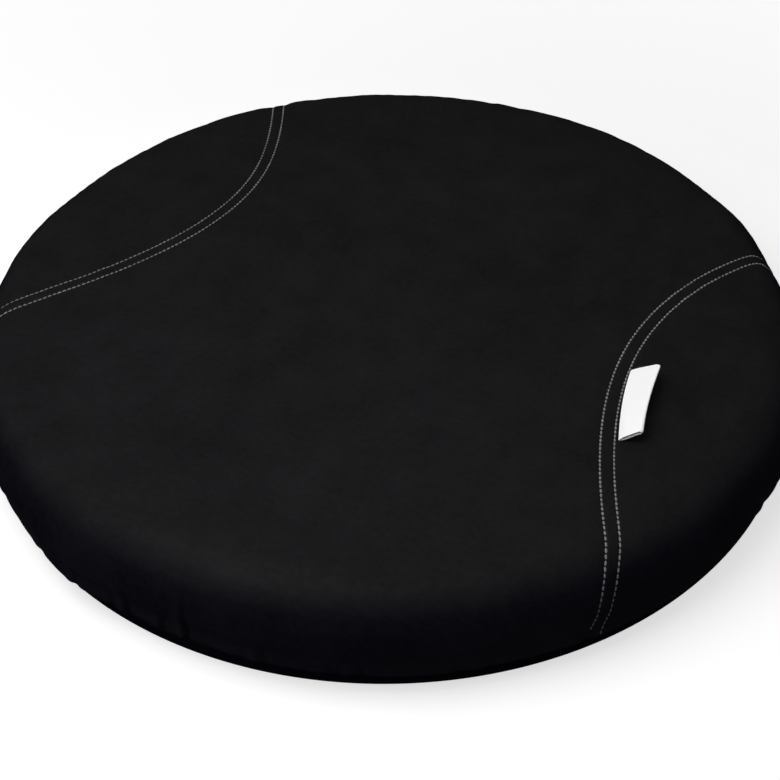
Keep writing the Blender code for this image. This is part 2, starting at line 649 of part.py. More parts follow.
def main():
    make_grip_mat()
    make_base_disc()
    make_pivot_bolt()
    make_ring("pivot_bush", BUSH_RADIUS, BUSH_BORE, BUSH_BOTTOM, BUSH_TOP, BUSH_PLASTIC)
    make_ring("pivot_washer", WASHER_RADIUS, BOLT_RADIUS + FIT_GAP, WASHER_BOTTOM, WASHER_TOP, ZINC_STEEL)
    make_lock_nut()
    make_ball_cage()
    make_balls()
    make_turntable_plate()
    make_foam_core()
    make_cover_panels()
    make_hem_binding()
    make_hem_elastic()
    make_folded_label()


main()
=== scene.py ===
"""Looks of the swivel seat cushion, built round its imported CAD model. Metres, +Z up."""
import math

import bmesh
import bpy
import numpy as np
from mathutils import Matrix, Vector, kdtree, noise
from mathutils.geometry import delaunay_2d_cdt


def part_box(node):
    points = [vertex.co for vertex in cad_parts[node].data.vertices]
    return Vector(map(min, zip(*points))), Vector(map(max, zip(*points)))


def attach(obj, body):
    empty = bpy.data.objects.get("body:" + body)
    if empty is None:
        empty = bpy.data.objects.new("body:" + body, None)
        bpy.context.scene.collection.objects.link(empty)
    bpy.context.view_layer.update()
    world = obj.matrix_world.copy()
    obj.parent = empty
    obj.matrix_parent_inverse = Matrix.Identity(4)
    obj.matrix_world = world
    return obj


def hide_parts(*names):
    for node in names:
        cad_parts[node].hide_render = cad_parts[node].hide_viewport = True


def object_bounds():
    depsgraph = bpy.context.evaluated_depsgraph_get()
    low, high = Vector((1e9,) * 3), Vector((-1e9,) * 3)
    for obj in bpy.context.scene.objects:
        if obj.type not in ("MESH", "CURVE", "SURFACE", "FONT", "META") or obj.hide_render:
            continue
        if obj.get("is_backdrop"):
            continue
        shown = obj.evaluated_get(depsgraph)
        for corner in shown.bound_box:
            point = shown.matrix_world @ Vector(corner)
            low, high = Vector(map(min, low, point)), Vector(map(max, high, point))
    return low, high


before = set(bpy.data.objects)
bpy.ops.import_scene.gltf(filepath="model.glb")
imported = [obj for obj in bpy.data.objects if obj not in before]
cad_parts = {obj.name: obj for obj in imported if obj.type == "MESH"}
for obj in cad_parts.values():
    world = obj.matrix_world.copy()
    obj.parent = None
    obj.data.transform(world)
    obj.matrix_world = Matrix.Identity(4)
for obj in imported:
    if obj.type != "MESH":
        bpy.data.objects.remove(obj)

CAD_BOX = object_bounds()
MM = 0.001

# The padded seat, as in the CAD source
CUSHION_RADIUS = 200 * MM
CUSHION_HEIGHT = 52 * MM
CROWN_RISE = 2.4 * MM
SHOULDER_WIDTH = 23 * MM
SHOULDER_DROP = 24.5 * MM
SIDE_WAIST_DEPTH = 2.0 * MM
SIDE_WAIST_HEIGHT = 18.15 * MM
SIDE_FLARE_DEPTH = 0.6 * MM
SIDE_FLARE_HEIGHT = 11.2 * MM
SIDE_TUCK_DEPTH = 0.45 * MM
SIDE_TUCK_DROP = 1.2 * MM
SIDE_FOOT_DEPTH = 2.6 * MM
PANEL_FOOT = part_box("cover_centre_panel")[0].z
SECTION_FINENESS = 0.25 * MM
SECTION_SOFTENING = 2.0 * MM
SEAM_CENTRE_X = 5.0 * MM
# Each seam as seen: half width of the centre panel, spread, place of the waist, its length, lean
SEAM_SHAPES = {-1: (113.0 * MM, 86 * MM, 32 * MM, 102 * MM, -0.08),
               1: (128.2 * MM, 303 * MM, 87 * MM, 202 * MM, 0.433)}
SEAM_WALL_LEAN = 0.10
SEAM_WALL_CURVE = 2.1
SEAM_WALL_START = 47 * MM
SEAM_FINENESS = 0.5 * MM
SIDES = (-1, 1)

# Forms that the photograph shows. Creases at the foot: angle in degrees, half width, depth and height in mm
SEEN_CREASES = ((-94.6, 1.6, 0.7, 14), (-92.4, 1.7, 1.1, 28), (-87.3, 1.5, 0.9, 22), (-84.0, 1.4, 1.6, 34),
                (-74.4, 2.0, 0.6, 16), (-63.1, 2.4, 0.6, 12), (-100.5, 1.8, 0.6, 26), (-108.0, 2.2, 0.4, 34),
                (-119.5, 2.6, 0.35, 36), (-124.5, 2.8, 0.35, 38))
CREASE_ZONE = 6 * MM
CREASE_SPACING = 1.0 * MM
CREASE_ZONE_HEIGHT = 42 * MM
# Where the padding is fuller: direction and spread in degrees, extra at the shoulder and at the foot in mm
FULLNESS = ((126, 16, 2.0, 0), (146, 9, 2.2, 0), (90, 20, 1.6, 0), (80, 10, 0.6, 0), (50, 5, 1.3, 0),
            (38, 6, -1.6, 0), (160, 9, 1.3, 0), (-167, 8, 0.9, 0), (-5, 9, 0, -1.3), (-101, 6, 0.4, 2.0),
            (-58, 11, 0.3, 1.2), (-72, 7, 0, 0.7), (133, 5, 0.6, 0), (114, 6, -0.6, 0), (-106, 5, 0, 0.4),
            (-117, 5, -0.5, -0.5), (4, 6, 0, 0.7))
# The foot stands higher towards the near left, where the cover is drawn up
FOOT_LIFT = 1.0 * MM
FOOT_LIFT_NEAR = 2.9 * MM
FOOT_LIFT_ANGLE = math.radians(-91)
FOOT_LIFT_SPREAD = math.radians(43)
# The side is drawn in above its foot at the near left, and nearly straight elsewhere
WAIST_FILL = 1.7 * MM
WAIST_FILL_HEIGHT = 6.5 * MM
WAIST_ANGLE = math.radians(-90)
WAIST_SPREAD = math.radians(40)
# Small gathers all round, shallow in the calm stretch at the left, with depths, widths and heights in mm
GATHER_COUNT = 96
GATHER_SEED = 12
GATHER_DEPTH = 0.55
GATHER_DEPTH_CALM = 0.12
GATHER_CALM_ANGLES = (-2.6, -1.85)
GATHER_WIDTHS = (1.7, 2.8)
GATHER_HEIGHTS = (4, 10)
# Unevenness of the stuffed cloth, and the size of its bumps
BROAD_SWELL = 0.35 * MM
BROAD_SWELL_SIZE = 55 * MM
FINE_SWELL = 0.12 * MM
FINE_SWELL_SIZE = 17 * MM
FOOT_UNEVENNESS = 0.25 * MM
SEAM_RIPPLE = 0.16 * MM
SEAM_RIPPLE_SIZE = 6.5 * MM
SEAM_PUFF = 0.22 * MM

# The cloth simulation, and how much of its unevenness is kept
SIM_SPACING = 4.6 * MM
SIM_FRAMES = 20
SIM_HELD_SEAM = 0.92
SIM_RULES = {"quality": 6, "mass": 0.25, "tension_stiffness": 35, "compression_stiffness": 20,
             "shear_stiffness": 12, "bending_stiffness": 0.6, "use_pressure": True,
             "uniform_pressure_force": 0.8, "shrink_min": -0.012, "vertex_group_mass": "held"}
SWELL_TOP = 0.55 * MM
SWELL_WALL = 0.22 * MM

# Cloth and thread
CLOTH_WALL = 0.8 * MM
WEAVE_PITCH = 0.36 * MM
WEAVE_STRAY = 0.05 * MM
COVER_SPACING = 2.1 * MM
COVER_SEAM_STEP = 1.8 * MM
COVER_SEAM_ROWS = np.array([0.8, 1.6, 2.2, 2.6, 2.93, 3.3, 3.9, 4.8, 6.0]) * MM
COVER_FOOT_ROWS = np.array([0, 0.45, 0.9, 1.4, 2.0, 2.8, 3.8, 5.0, 6.4, 8.0]) * MM
COVER_SHARP_ANGLE = math.radians(65)
BAND_RISE = 0.35 * MM
BAND_HALF_WIDTH = 2.75 * MM
BAND_SLOPE = 0.75 * MM
STITCH_PULL = 0.3 * MM
SEAM_DRAW = {-1: 0.85 * MM, 1: 0.3 * MM}
SEAM_DRAW_WIDTH = 7 * MM
STITCH_GAUGE = 5.9 * MM
STITCH_PITCH = 2.5 * MM
STITCH_LENGTH = 2.3 * MM
STITCH_STARTS = {-1: 9.0 * MM, 1: 5.3 * MM}
STITCH_END = 3.2 * MM
STITCH_RISE = 0.12 * MM
STITCH_DIP = 0.16 * MM
STITCH_SLANT = 0.09
STITCH_SEED = 5
THREAD_WIDTH = 1.12 * MM
THREAD_HEIGHT = 0.5 * MM

# Pieces turned about the middle: steps round them, and the angle that stays a sharp edge
FOAM_STEPS = 128
HEM_STEPS = 720
ELASTIC_STEPS = 360
BASE_STEPS = 288
TURNED_SHARP_ANGLE = math.radians(40)

# Foam, hem and elastic
FOAM_INSET = 2.5 * MM
FOAM_INSET_LOW = 1.9 * MM
FOAM_SAW_MARK = 0.15 * MM
NUT_RECESS_RADIUS = 15 * MM
NUT_RECESS_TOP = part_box("pivot_bolt")[1].z + 2 * MM
HEM_WALL = 0.5 * MM
HEM_CLEARANCE = 0.05 * MM
HEM_BEND = 0.6 * MM
HEM_FOLD_DEPTH = 1.1 * MM
HEM_GATHER = 0.9 * MM
HEM_GATHER_EDGE = 0.3 * MM
HEM_LOWEST = -0.15 * MM
ELASTIC_RADIUS = 0.8 * MM
ELASTIC_CENTRE = (175 * MM, (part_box("hem_elastic")[0].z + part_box("hem_elastic")[1].z) / 2)

# Label, with its lift in degrees
LABEL_LENGTH = 47.5 * MM
LABEL_WIDTH_FAR = 14.5 * MM
LABEL_WIDTH_NEAR = 11.2 * MM
LABEL_WIDTH_BULGE = 0.5 * MM
LABEL_THICKNESS = 0.32 * MM
LABEL_LAYER_GAP = 0.5 * MM
LABEL_CORNER = 1.6 * MM
LABEL_OFFSET_FAR = 3.8 * MM
LABEL_OFFSET_NEAR = 4.8 * MM
LABEL_FAR_Y = 1.2 * MM
LABEL_LIFT_FAR = 31
LABEL_LIFT_NEAR = 35.5
LABEL_ROOT = 3 * MM
LABEL_STATIONS = 48
LABEL_LAYER_POINTS = 16
LABEL_SHARP_ANGLE = math.radians(50)

# Base and mat
BASE_UNDERSIDE = 1.8 * MM
BASE_FLOOR_TOP = 4.0 * MM
BASE_RIM_WIDTH = 4.0 * MM
BASE_RIM_RISE = 2.6 * MM
BASE_RIM_DRAFT = 0.5 * MM
BASE_RIM_ROUND = 1.45 * MM
BASE_BOSS_RADIUS = 15 * MM
BASE_BOSS_TOP = 7.2 * MM
BOLT_HEAD_RECESS = 7.5 * MM
BOLT_HEAD_LEDGE = 4.9 * MM
BOLT_HOLE = 4.3 * MM
TRACK_RADIUS = 120 * MM
TRACK_HALF_WIDTH = 8 * MM
BALL_CENTRE = 8.075 * MM
GROOVE_RADIUS = 3.575 * MM
LOWER_TRACK_TOP = BALL_CENTRE - 1.4 * MM
RIB_THICKNESS = 1.8 * MM
RIB_HEIGHT = 2.0 * MM
RIB_ROOT = 0.8 * MM
RIB_END_RADIUS = 169.2 * MM
EDGE_BEVEL = 0.3 * MM
MAT_GROOVES = (160 * MM, 110 * MM, 60 * MM)
MAT_GROOVE_WIDTH = 3.0 * MM
MAT_GROOVE_DEPTH = 0.6 * MM
MAT_GROOVE_LIP = 0.2 * MM

# Camera, measured from the photograph
CAMERA_PLACE = Vector((277.3, -463.6, 469.7)) * MM
CAMERA_AIM = Vector((26.2, -43.05, 30.0)) * MM
CAMERA_ROLL = math.radians(1.01)
CAMERA_LENS = 65.12
CAMERA_SENSOR = 36.0
CAMERA_AZIMUTH = math.radians(30.88)

# Light. Lamps as the camera sees them, x to its right and y away from it: place, aim, size, light at the aim
WORLD_LIGHT = 0.36
LAMPS = {"left_soft_box": ((-0.16, -0.13, 0.47), (-0.02, -0.03, 0.05), 0.40, 0.83),
         "low_soft_box": ((-0.75, -0.40, 0.36), (-0.10, -0.12, 0.04), 0.45, 0.2)}
FLOOR_HALF = 4.0


# Node trees

class Wire:
    """A socket in plain arithmetic: each operator adds the Math node that it stands for."""

    def __init__(self, bench, socket):
        self.bench = bench
        self.socket = socket

    def maths(self, operation, *values):
        return self.bench.wire('ShaderNodeMath', dict(enumerate(values)), operation=operation)

    __add__ = __radd__ = lambda self, other: self.maths('ADD', self, other)
    __sub__ = lambda self, other: self.maths('SUBTRACT', self, other)
    __rsub__ = lambda self, other: self.maths('SUBTRACT', other, self)
    __mul__ = __rmul__ = lambda self, other: self.maths('MULTIPLY', self, other)
    __truediv__ = lambda self, other: self.maths('DIVIDE', self, other)
    __pow__ = lambda self, other: self.maths('POWER', self, other)
    __abs__ = lambda self: self.maths('ABSOLUTE', self)
    __gt__ = lambda self, other: self.maths('GREATER_THAN', self, other)
    __lt__ = lambda self, other: self.maths('LESS_THAN', self, other)

    def clamped(self):
        return self.maths('MINIMUM', self.maths('MAXIMUM', self, 0.0), 1.0)

    def wave(self, length=math.tau):
        """Sine of a place, with the given wave length."""
        return self.maths('SINE', self * (math.tau / length))


class Bench:
    """Adds nodes to one tree."""

    def __init__(self, tree):
        self.tree = tree

    def add(self, kind, sockets=None, **settings):
        """One node: its settings first, then the values or links of its sockets."""
        node = self.tree.nodes.new(kind)
        for name, value in settings.items():
            setattr(node, name, value)
        for key, value in (sockets or {}).items():
            if isinstance(value, Wire):
                self.tree.links.new(value.socket, node.inputs[key])
            else:
                node.inputs[key].default_value = value
        return node

    def wire(self, kind, sockets=None, output=0, **settings):
        return Wire(self, self.add(kind, sockets, **settings).outputs[output])

    def noise(self, place, scale, detail=2.0, roughness=0.5):
        return self.wire('ShaderNodeTexNoise',
                         {"Vector": place, "Scale": scale, "Detail": detail, "Roughness": roughness}, "Fac")

    def cells(self, place, scale):
        return self.wire('ShaderNodeTexVoronoi', {"Vector": place, "Scale": scale}, "Distance")

    def mix(self, share, first, second):
        """Mix of two colours."""
        return self.wire('ShaderNodeMix', {0: share, 6: first, 7: second}, 2, data_type='RGBA')

    def scaled(self, place, scale):
        return self.wire('ShaderNodeMapping', {"Vector": place, "Scale": scale})

    def vector(self, x, y, z):
        return self.wire('ShaderNodeCombineXYZ', {0: x, 1: y, 2: z})

    def turn_about_z(self, angle):
        return self.wire('FunctionNodeEulerToRotation', {0: self.vector(0.0, 0.0, angle)})

    def split(self, place):
        return [Wire(self, socket) for socket in self.add('ShaderNodeSeparateXYZ', {0: place}).outputs]

    def show(self, lighting, seen, output):
        """One shader for rays that only carry light, another for the camera, gloss and clear material."""
        path = self.add('ShaderNodeLightPath')
        rays = [Wire(self, path.outputs[f"Is {kind} Ray"]) for kind in ("Camera", "Glossy", "Transmission")]
        direct = (rays[0] + rays[1] + rays[2]).clamped()
        chosen = self.wire('ShaderNodeMixShader', {0: direct, 1: lighting, 2: seen})
        self.tree.links.new(chosen.socket, self.tree.nodes[output].inputs["Surface"])


def node_group(name, inputs, output):
    """A geometry node tree with named inputs, listed by kind: its bench, and a wire for each input."""
    tree = bpy.data.node_groups.new(name, 'GeometryNodeTree')
    for kind, names in inputs.items():
        for socket in names.split():
            tree.interface.new_socket(name=socket, in_out='INPUT', socket_type='NodeSocket' + kind)
    tree.interface.new_socket(name=output, in_out='OUTPUT', socket_type='NodeSocketGeometry')
    bench = Bench(tree)
    given = bench.add('NodeGroupInput')
    return bench, {socket.name: Wire(bench, socket) for socket in given.outputs if socket.name}


def grey(level, tint=(1.0, 1.0, 1.0)):
    return (level * tint[0], level * tint[1], level * tint[2], 1.0)


class Finish(Bench):
    """A material: one Principled shader and the nodes behind it."""

    def __init__(self, name, specular=0.5, constants=None):
        self.material = bpy.data.materials.new(name)
        self.material.use_nodes = True
        super().__init__(self.material.node_tree)
        self.shader = self.tree.nodes["Principled BSDF"]
        for key, value in {"Specular IOR Level": specular, **(constants or {})}.items():
            self.shader.inputs[key].default_value = value

    def place(self):
        return self.wire('ShaderNodeTexCoord', output="Object")

    def cut(self):
        """Place on the cloth before it was sewn, in metres."""
        return self.wire('ShaderNodeUVMap', uv_map="cut")

    def give(self, socket, wire):
        self.tree.links.new(wire.socket, self.shader.inputs[socket])

    def made(self, share, dark, light, roughness, height, distance, strength):
        """The material, with a colour between dark and light, a roughness, and a bump by height."""
        self.give("Base Color", self.mix(share, dark, light))
        self.give("Roughness", roughness)
        self.give("Normal", self.wire('ShaderNodeBump',
                                      {"Strength": strength, "Distance": distance, "Height": height}))
        return self.material


def weave(finish, place, pitch, stray):
    """Height of a plain weave: threads pass over and under each other by turns."""
    wander = {"Vector": place, "Scale": 0.16 / pitch, "Detail": 1.0}
    parts = {0: finish.wire('ShaderNodeTexNoise', wander, "Color"), 1: (stray, stray, stray), 2: place}
    shift = finish.wire('ShaderNodeVectorMath', parts, operation='MULTIPLY_ADD')
    warp, weft = (wire.wave(2 * pitch) for wire in finish.split(shift)[:2])
    over = (warp * weft) > 0.0
    return over * abs(warp) + (1.0 - over) * abs(weft)


def cover_cloth(name, grain_turn):
    """Black polyester of the panels: plain weave, a soft sheen on top, fine mottling, a little lint, and
    painted light and shade.
    """
    finish = Finish(name, specular=0.0, constants={"Coat Roughness": 0.42, "Coat IOR": 3.0})
    place = finish.place()
    cut = finish.wire('ShaderNodeMapping',
                      {"Vector": finish.cut(), "Rotation": (0, 0, math.radians(grain_turn))})
    height = weave(finish, cut, WEAVE_PITCH, WEAVE_STRAY)
    fine = finish.noise(cut, 900.0, 3.0, 0.65)
    slub = finish.noise(finish.scaled(cut, (300.0, 410.0, 1.0)), 1.0, 3.0, 0.7)
    # Crease depth, for painted shade in the creases and painted light on their ridges.
    fold = finish.wire('ShaderNodeAttribute', output="Fac", attribute_name="fold")
    patchy = finish.noise(place, 42.0, 4.0, 0.6)
    broad = finish.noise(place, 9.0)
    rise = finish.split(place)[2]
    # Painted light and shade by height: the crown is painted as lit, the walls as in shade.
    top = ((rise - 40 * MM) / (7.5 * MM)).clamped()
    # Painted light: a patchy lit strip on the flare just above the foot.
    painted_lit_strip = ((15 * MM - rise) / (6 * MM)).clamped() * (patchy * 1.6 - 0.2).clamped()
    # Painted shade on the middle of the wall.
    middle = (1.0 - abs(rise - 33 * MM) / (13 * MM)).clamped()
    # The shade is tone at random, with painted shade from the creases and the mid-wall, and painted light on
    # the crease ridges.
    shade = (0.5 + 0.5 * (fine - 0.5) + 0.9 * (slub - 0.5) + 0.9 * (patchy - 0.5) + 0.4 * (broad - 0.5)
             + 0.2 * (height - 0.5) - 0.5 * fold - 0.22 * middle).clamped()
    # Shaded and lit copies of the cloth's colour: the darker pair for the walls, the lighter pair for the
    # crown.
    wall = finish.mix(shade, grey(0.0022, (1.0, 0.88, 1.6)), grey(0.0066, (1.0, 0.93, 1.38)))
    crown = finish.mix(shade, grey(0.0052, (1.0, 1.0, 1.1)), grey(0.0118, (1.0, 1.0, 1.09)))
    clean = finish.mix((top + 0.62 * painted_lit_strip).clamped(), wall, crown)
    lint_spot = finish.cells(finish.scaled(cut, (150.0, 260.0, 1.0)), 1.0)
    lint = (lint_spot < 0.04) * (finish.noise(cut, 35.0) > 0.6)
    finish.give("Coat Weight", (0.4 + 0.6 * top) * (0.0034 + 0.0034 * shade))
    return finish.made(lint * 0.35, clean, grey(0.05), 0.86 + 0.1 * fine,
                       height * 0.7 + slub * 0.6, 0.06 * MM, 0.6)


def sewing_thread():
    """Light grey spun polyester of two twisted plies, a little duller towards the left, with painted shade on
    the wall.
    """
    finish = Finish("topstitch_thread", specular=0.2)
    place = finish.place()
    on_thread = finish.wire('ShaderNodeAttribute', output="Vector", attribute_name="thread_place")
    along, across, _ = finish.split(on_thread)
    ply = (along * 9.0 + across * 2.2).wave()
    uneven = finish.noise(place, 700.0)
    x, _, rise = finish.split(place)
    # Painted shade: the thread is painted dark on the wall, below the shoulder.
    lit = ((rise - 30 * MM) / (14 * MM)).clamped()
    # Darker towards the left.
    leftward_dimming = ((-60 * MM - x) / (50 * MM)).clamped()
    worn = finish.noise(place, 60.0)
    twist = (0.5 + 0.3 * ply + 0.5 * (uneven - 0.5) + 1.2 * (worn - 0.5)).clamped()
    fibre = finish.mix(twist, grey(0.085, (1.0, 1.0, 1.02)), grey(0.28))
    return finish.made((0.045 + 0.955 * lit) * (1.0 - 0.26 * leftward_dimming), grey(0.013), fibre,
                       0.55 + 0.25 * uneven, ply, 0.05 * MM, 0.7)


def woven_tape():
    """White satin label tape: close ribs across it, and painted shade on the end face of its near end."""
    finish = Finish("white_label_tape", specular=0.3)
    across, along, _ = finish.split(finish.cut())
    rib = along.wave(0.42 * MM)
    fine = across.wave(0.3 * MM)
    patchy = finish.noise(finish.place(), 160.0, 3.0)
    face = finish.mix((0.5 + 0.16 * rib + 0.8 * (patchy - 0.5)).clamped(),
                      grey(0.93, (1.0, 0.998, 0.995)), grey(0.99))
    # Painted shade: the last 0.12 mm of the near end, its end face, is dark grey.
    return finish.made(along > LABEL_LENGTH - 0.12 * MM, face, grey(0.12), 0.5 + 0.25 * patchy,
                       rib * 0.6 + fine * 0.4, 0.03 * MM, 0.5)


def hem_tape():
    """Black binding strip: a diagonal twill, a little patchy with dust."""
    finish = Finish("hem_strip", specular=0.0)
    across, along, _ = finish.split(finish.cut())
    twill = (across + along).wave(0.9 * MM)
    patchy = finish.noise(finish.place(), 60.0, 4.0)
    return finish.made((0.5 + 0.2 * twill + 0.9 * (patchy - 0.5)).clamped(), grey(0.0016), grey(0.0052),
                       0.8 + 0.12 * patchy, twill, 0.08 * MM, 0.7)


def elastic_braid():
    """Round black elastic: a braid of crossing strands."""
    finish = Finish("elastic_braid", specular=0.2)
    across, along, _ = finish.split(finish.cut())
    strands = [abs(place.wave(1.6 * MM)) * 0.5 for place in (along + across * 1.2, along - across * 1.2)]
    braid = strands[0] + strands[1]
    return finish.made(braid.clamped(), grey(0.006), grey(0.024), 0.7 + 0.15 * braid, braid, 0.12 * MM, 0.8)


def moulded_plastic(name, dark, light, gloss, texture_size, specular=0.4):
    """Injection-moulded plastic with a spark-eroded grain, soft flow marks and handling scuffs."""
    finish = Finish(name, specular=specular)
    place = finish.place()
    grain = finish.noise(place, 1.0 / texture_size, 2.0, 0.6)
    flow = finish.noise(finish.scaled(place, (14.0, 14.0, 60.0)), 1.0, 3.0, 0.55)
    scratches = finish.noise(finish.scaled(place, (30.0, 260.0, 90.0)), 1.0, 4.0, 0.7)
    scuff = (scratches > 0.66) * (finish.noise(place, 22.0) > 0.52)
    return finish.made((0.35 + 0.5 * (flow - 0.4) + 0.3 * grain + 0.35 * scuff).clamped(), dark, light,
                       gloss + 0.18 * (flow - 0.5) + 0.1 * scuff, grain, 0.06 * MM, 0.5)


def rubber_mat():
    """Black non-slip rubber: a fine pebbled face, with dust in the low places."""
    finish = Finish("grip_rubber", specular=0.25)
    place = finish.place()
    pebble = finish.wire('ShaderNodeTexVoronoi', {"Vector": place, "Scale": 420.0, "Smoothness": 0.6},
                         "Distance", feature='SMOOTH_F1')
    patchy = finish.noise(place, 28.0, 4.0, 0.6)
    dust = (pebble * 1.5 - 0.55).clamped() * patchy
    return finish.made((0.25 + 0.5 * (patchy - 0.4) + 0.6 * dust).clamped(), grey(0.012),
                       grey(0.05, (1.0, 0.98, 0.95)), 0.72 + 0.2 * patchy, 1.0 - pebble, 0.25 * MM, 0.8)


def ground_steel():
    """Polished bearing steel with the faint marks of its track and a film of oil."""
    finish = Finish("ball_steel", constants={"Metallic": 1.0})
    place = finish.place()
    film = finish.noise(place, 260.0, 3.0)
    lines = finish.noise(finish.scaled(place, (500.0, 500.0, 4000.0)), 1.0)
    return finish.made(film, grey(0.5, (1.0, 1.0, 1.01)), grey(0.68, (1.0, 0.995, 0.98)),
                       0.1 + 0.12 * film + 0.06 * lines, lines, 0.01 * MM, 0.3)


def plated_steel():
    """Zinc-plated steel: a pale grey with a faint yellow and blue bloom and turning marks."""
    finish = Finish("zinc_plate", constants={"Metallic": 1.0})
    place = finish.place()
    x, y, _ = finish.split(place)
    rings = ((x * x + y * y) ** 0.5).wave(0.35 * MM)
    bloom = finish.noise(place, 190.0, 3.0, 0.6)
    return finish.made(bloom, grey(0.5, (1.0, 0.97, 0.86)), grey(0.6, (0.94, 0.98, 1.04)),
                       0.3 + 0.15 * bloom + 0.05 * rings, rings + bloom, 0.015 * MM, 0.4)


def open_foam():
    """Cream polyurethane foam: open cells of several sizes, with painted shade in the pores."""
    finish = Finish("seat_foam", specular=0.1)
    place = finish.place()
    pores = (1.0 - (finish.cells(place, 900.0) * 0.9 + finish.cells(place, 330.0) * 0.5)).clamped()
    aged = finish.noise(place, 14.0, 3.0)
    # Painted shade: the colour darkens in the pores.
    return finish.made((0.2 + 0.6 * pores + 0.4 * (aged - 0.5)).clamped(), grey(0.78, (1.0, 0.95, 0.8)),
                       grey(0.45, (1.0, 0.9, 0.68)), 0.88 + 0.1 * pores, 1.0 - pores, 0.4 * MM, 0.8)


# Small sums that the shapes share

def clipped(value):
    return np.clip(value, 0, 1)


def eased(share):
    """A share from 0 to 1 with a soft start and end."""
    return share * share * (3 - 2 * share)


def bell(gap):
    """1 at no distance, falling away on both sides."""
    return np.exp(-gap * gap)


def turn_from(angle, middle):
    """Angle from a direction, between minus and plus half a turn."""
    return np.remainder(angle - middle + math.pi, math.tau) - math.pi


def from_axis(points):
    return np.hypot(points[:, 0], points[:, 1])


def direction(points):
    return np.arctan2(points[:, 1], points[:, 0])


def at_direction(far, angle):
    return np.column_stack([far * np.cos(angle), far * np.sin(angle)])


def unit(vectors):
    return vectors / np.linalg.norm(vectors, axis=1)[:, None]


def length_along(points):
    return np.r_[0, np.cumsum(np.linalg.norm(np.diff(points, axis=0), axis=1))]


def points_at(at, length, points):
    """Points of a line at the given lengths."""
    return np.stack([np.interp(at, length, points[:, k]) for k in range(points.shape[1])], axis=1)


def smooth_line(points, steps):
    """A curve through the points, with even tangents."""
    padded = np.vstack([2 * points[0] - points[1], points, 2 * points[-1] - points[-2]])
    line = []
    for i in range(1, len(padded) - 2):
        a, b, c, d = padded[i - 1:i + 3]
        for t in np.arange(steps) / steps:
            line.append(0.5 * (2 * b + (c - a) * t + (2 * a - 5 * b + 4 * c - d) * t ** 2
                               + (3 * b - a - 3 * c + d) * t ** 3))
    return np.array(line + [points[-1]])


def evenly(points, step):
    """The same line with points a fixed length apart, and the length up to each."""
    length = length_along(points)
    at = np.linspace(0, length[-1], max(2, int(round(length[-1] / step)) + 1))
    return points_at(at, length, points), at


# Shape of the cover

def cover_section():
    """Half section of the cover's outside, from the middle of the top to the foot, and the length up to
    each point."""
    flat = CUSHION_RADIUS - SHOULDER_WIDTH
    shoulder_foot = CUSHION_HEIGHT - CROWN_RISE - SHOULDER_DROP
    flare = CUSHION_RADIUS - SIDE_FLARE_DEPTH
    share = np.linspace(0, 1, 60)
    crown = np.stack([flat * share, CUSHION_HEIGHT - CROWN_RISE * share ** 2], axis=1)
    angle = np.radians(np.linspace(90, 0, 40))[1:]
    shoulder = np.column_stack([flat + SHOULDER_WIDTH * np.cos(angle),
                                shoulder_foot + SHOULDER_DROP * np.sin(angle)])
    side = smooth_line(np.array([
        (CUSHION_RADIUS, shoulder_foot),
        (CUSHION_RADIUS - SIDE_WAIST_DEPTH, SIDE_WAIST_HEIGHT),
        (flare, SIDE_FLARE_HEIGHT),
        (flare - SIDE_TUCK_DEPTH, SIDE_FLARE_HEIGHT - SIDE_TUCK_DROP),
        (CUSHION_RADIUS - SIDE_FOOT_DEPTH, PANEL_FOOT)]), 12)[1:]
    line, at = evenly(np.vstack([crown, shoulder, side]), SECTION_FINENESS)
    reach = SECTION_SOFTENING / (at[1] - at[0])
    window = np.exp(-0.5 * (np.arange(-3 * int(reach), 3 * int(reach) + 1) / reach) ** 2)
    window /= window.sum()
    padded = np.pad(line, ((len(window) // 2,) * 2, (0, 0)), 'reflect', reflect_type='odd')
    soft = np.column_stack([np.convolve(padded[:, k], window, 'valid') for k in (0, 1)])
    line = line + (soft - line) * clipped((line[:, 1] - PANEL_FOOT - 5 * MM) / (6 * MM))[:, None]
    line[0] = (0.0, line[1, 1])
    return evenly(line, SECTION_FINENESS)


SECTION, SECTION_AT = cover_section()
SECTION_STEP = np.gradient(SECTION, SECTION_AT, axis=0)
CUT_RADIUS = SECTION_AT[-1]
RIM_INDEX = int(SECTION[:, 0].argmax())
RIM_RADIUS = SECTION[RIM_INDEX, 0]


def lay_on(cut):
    """Place on the cushion of points of the flat cut, with the surface's normal and downhill direction."""
    far = from_axis(cut)
    outwards = cut / np.maximum(far, 1e-9)[:, None]
    radius, height = points_at(far, SECTION_AT, SECTION).T
    run, fall = points_at(far, SECTION_AT, SECTION_STEP).T
    size = np.hypot(run, fall)
    place = np.column_stack([outwards * radius[:, None], height])
    normal = np.column_stack([outwards * (-fall / size)[:, None], run / size])
    downhill = np.column_stack([outwards * (run / size)[:, None], fall / size])
    return place, normal, downhill


def flattened(plan):
    """Points seen from above, carried to the flat cut."""
    radius = from_axis(plan)
    far = np.interp(radius, SECTION[:RIM_INDEX + 1, 0], SECTION_AT[:RIM_INDEX + 1])
    return plan * (far / np.maximum(radius, 1e-9))[:, None]


def seam_x(side, y):
    half_width, spread, waist, length, lean = SEAM_SHAPES[side]
    stretch = np.hypot(1, (y - waist) / length) - 1
    return SEAM_CENTRE_X + side * (half_width + spread * stretch) + lean * (y - waist)


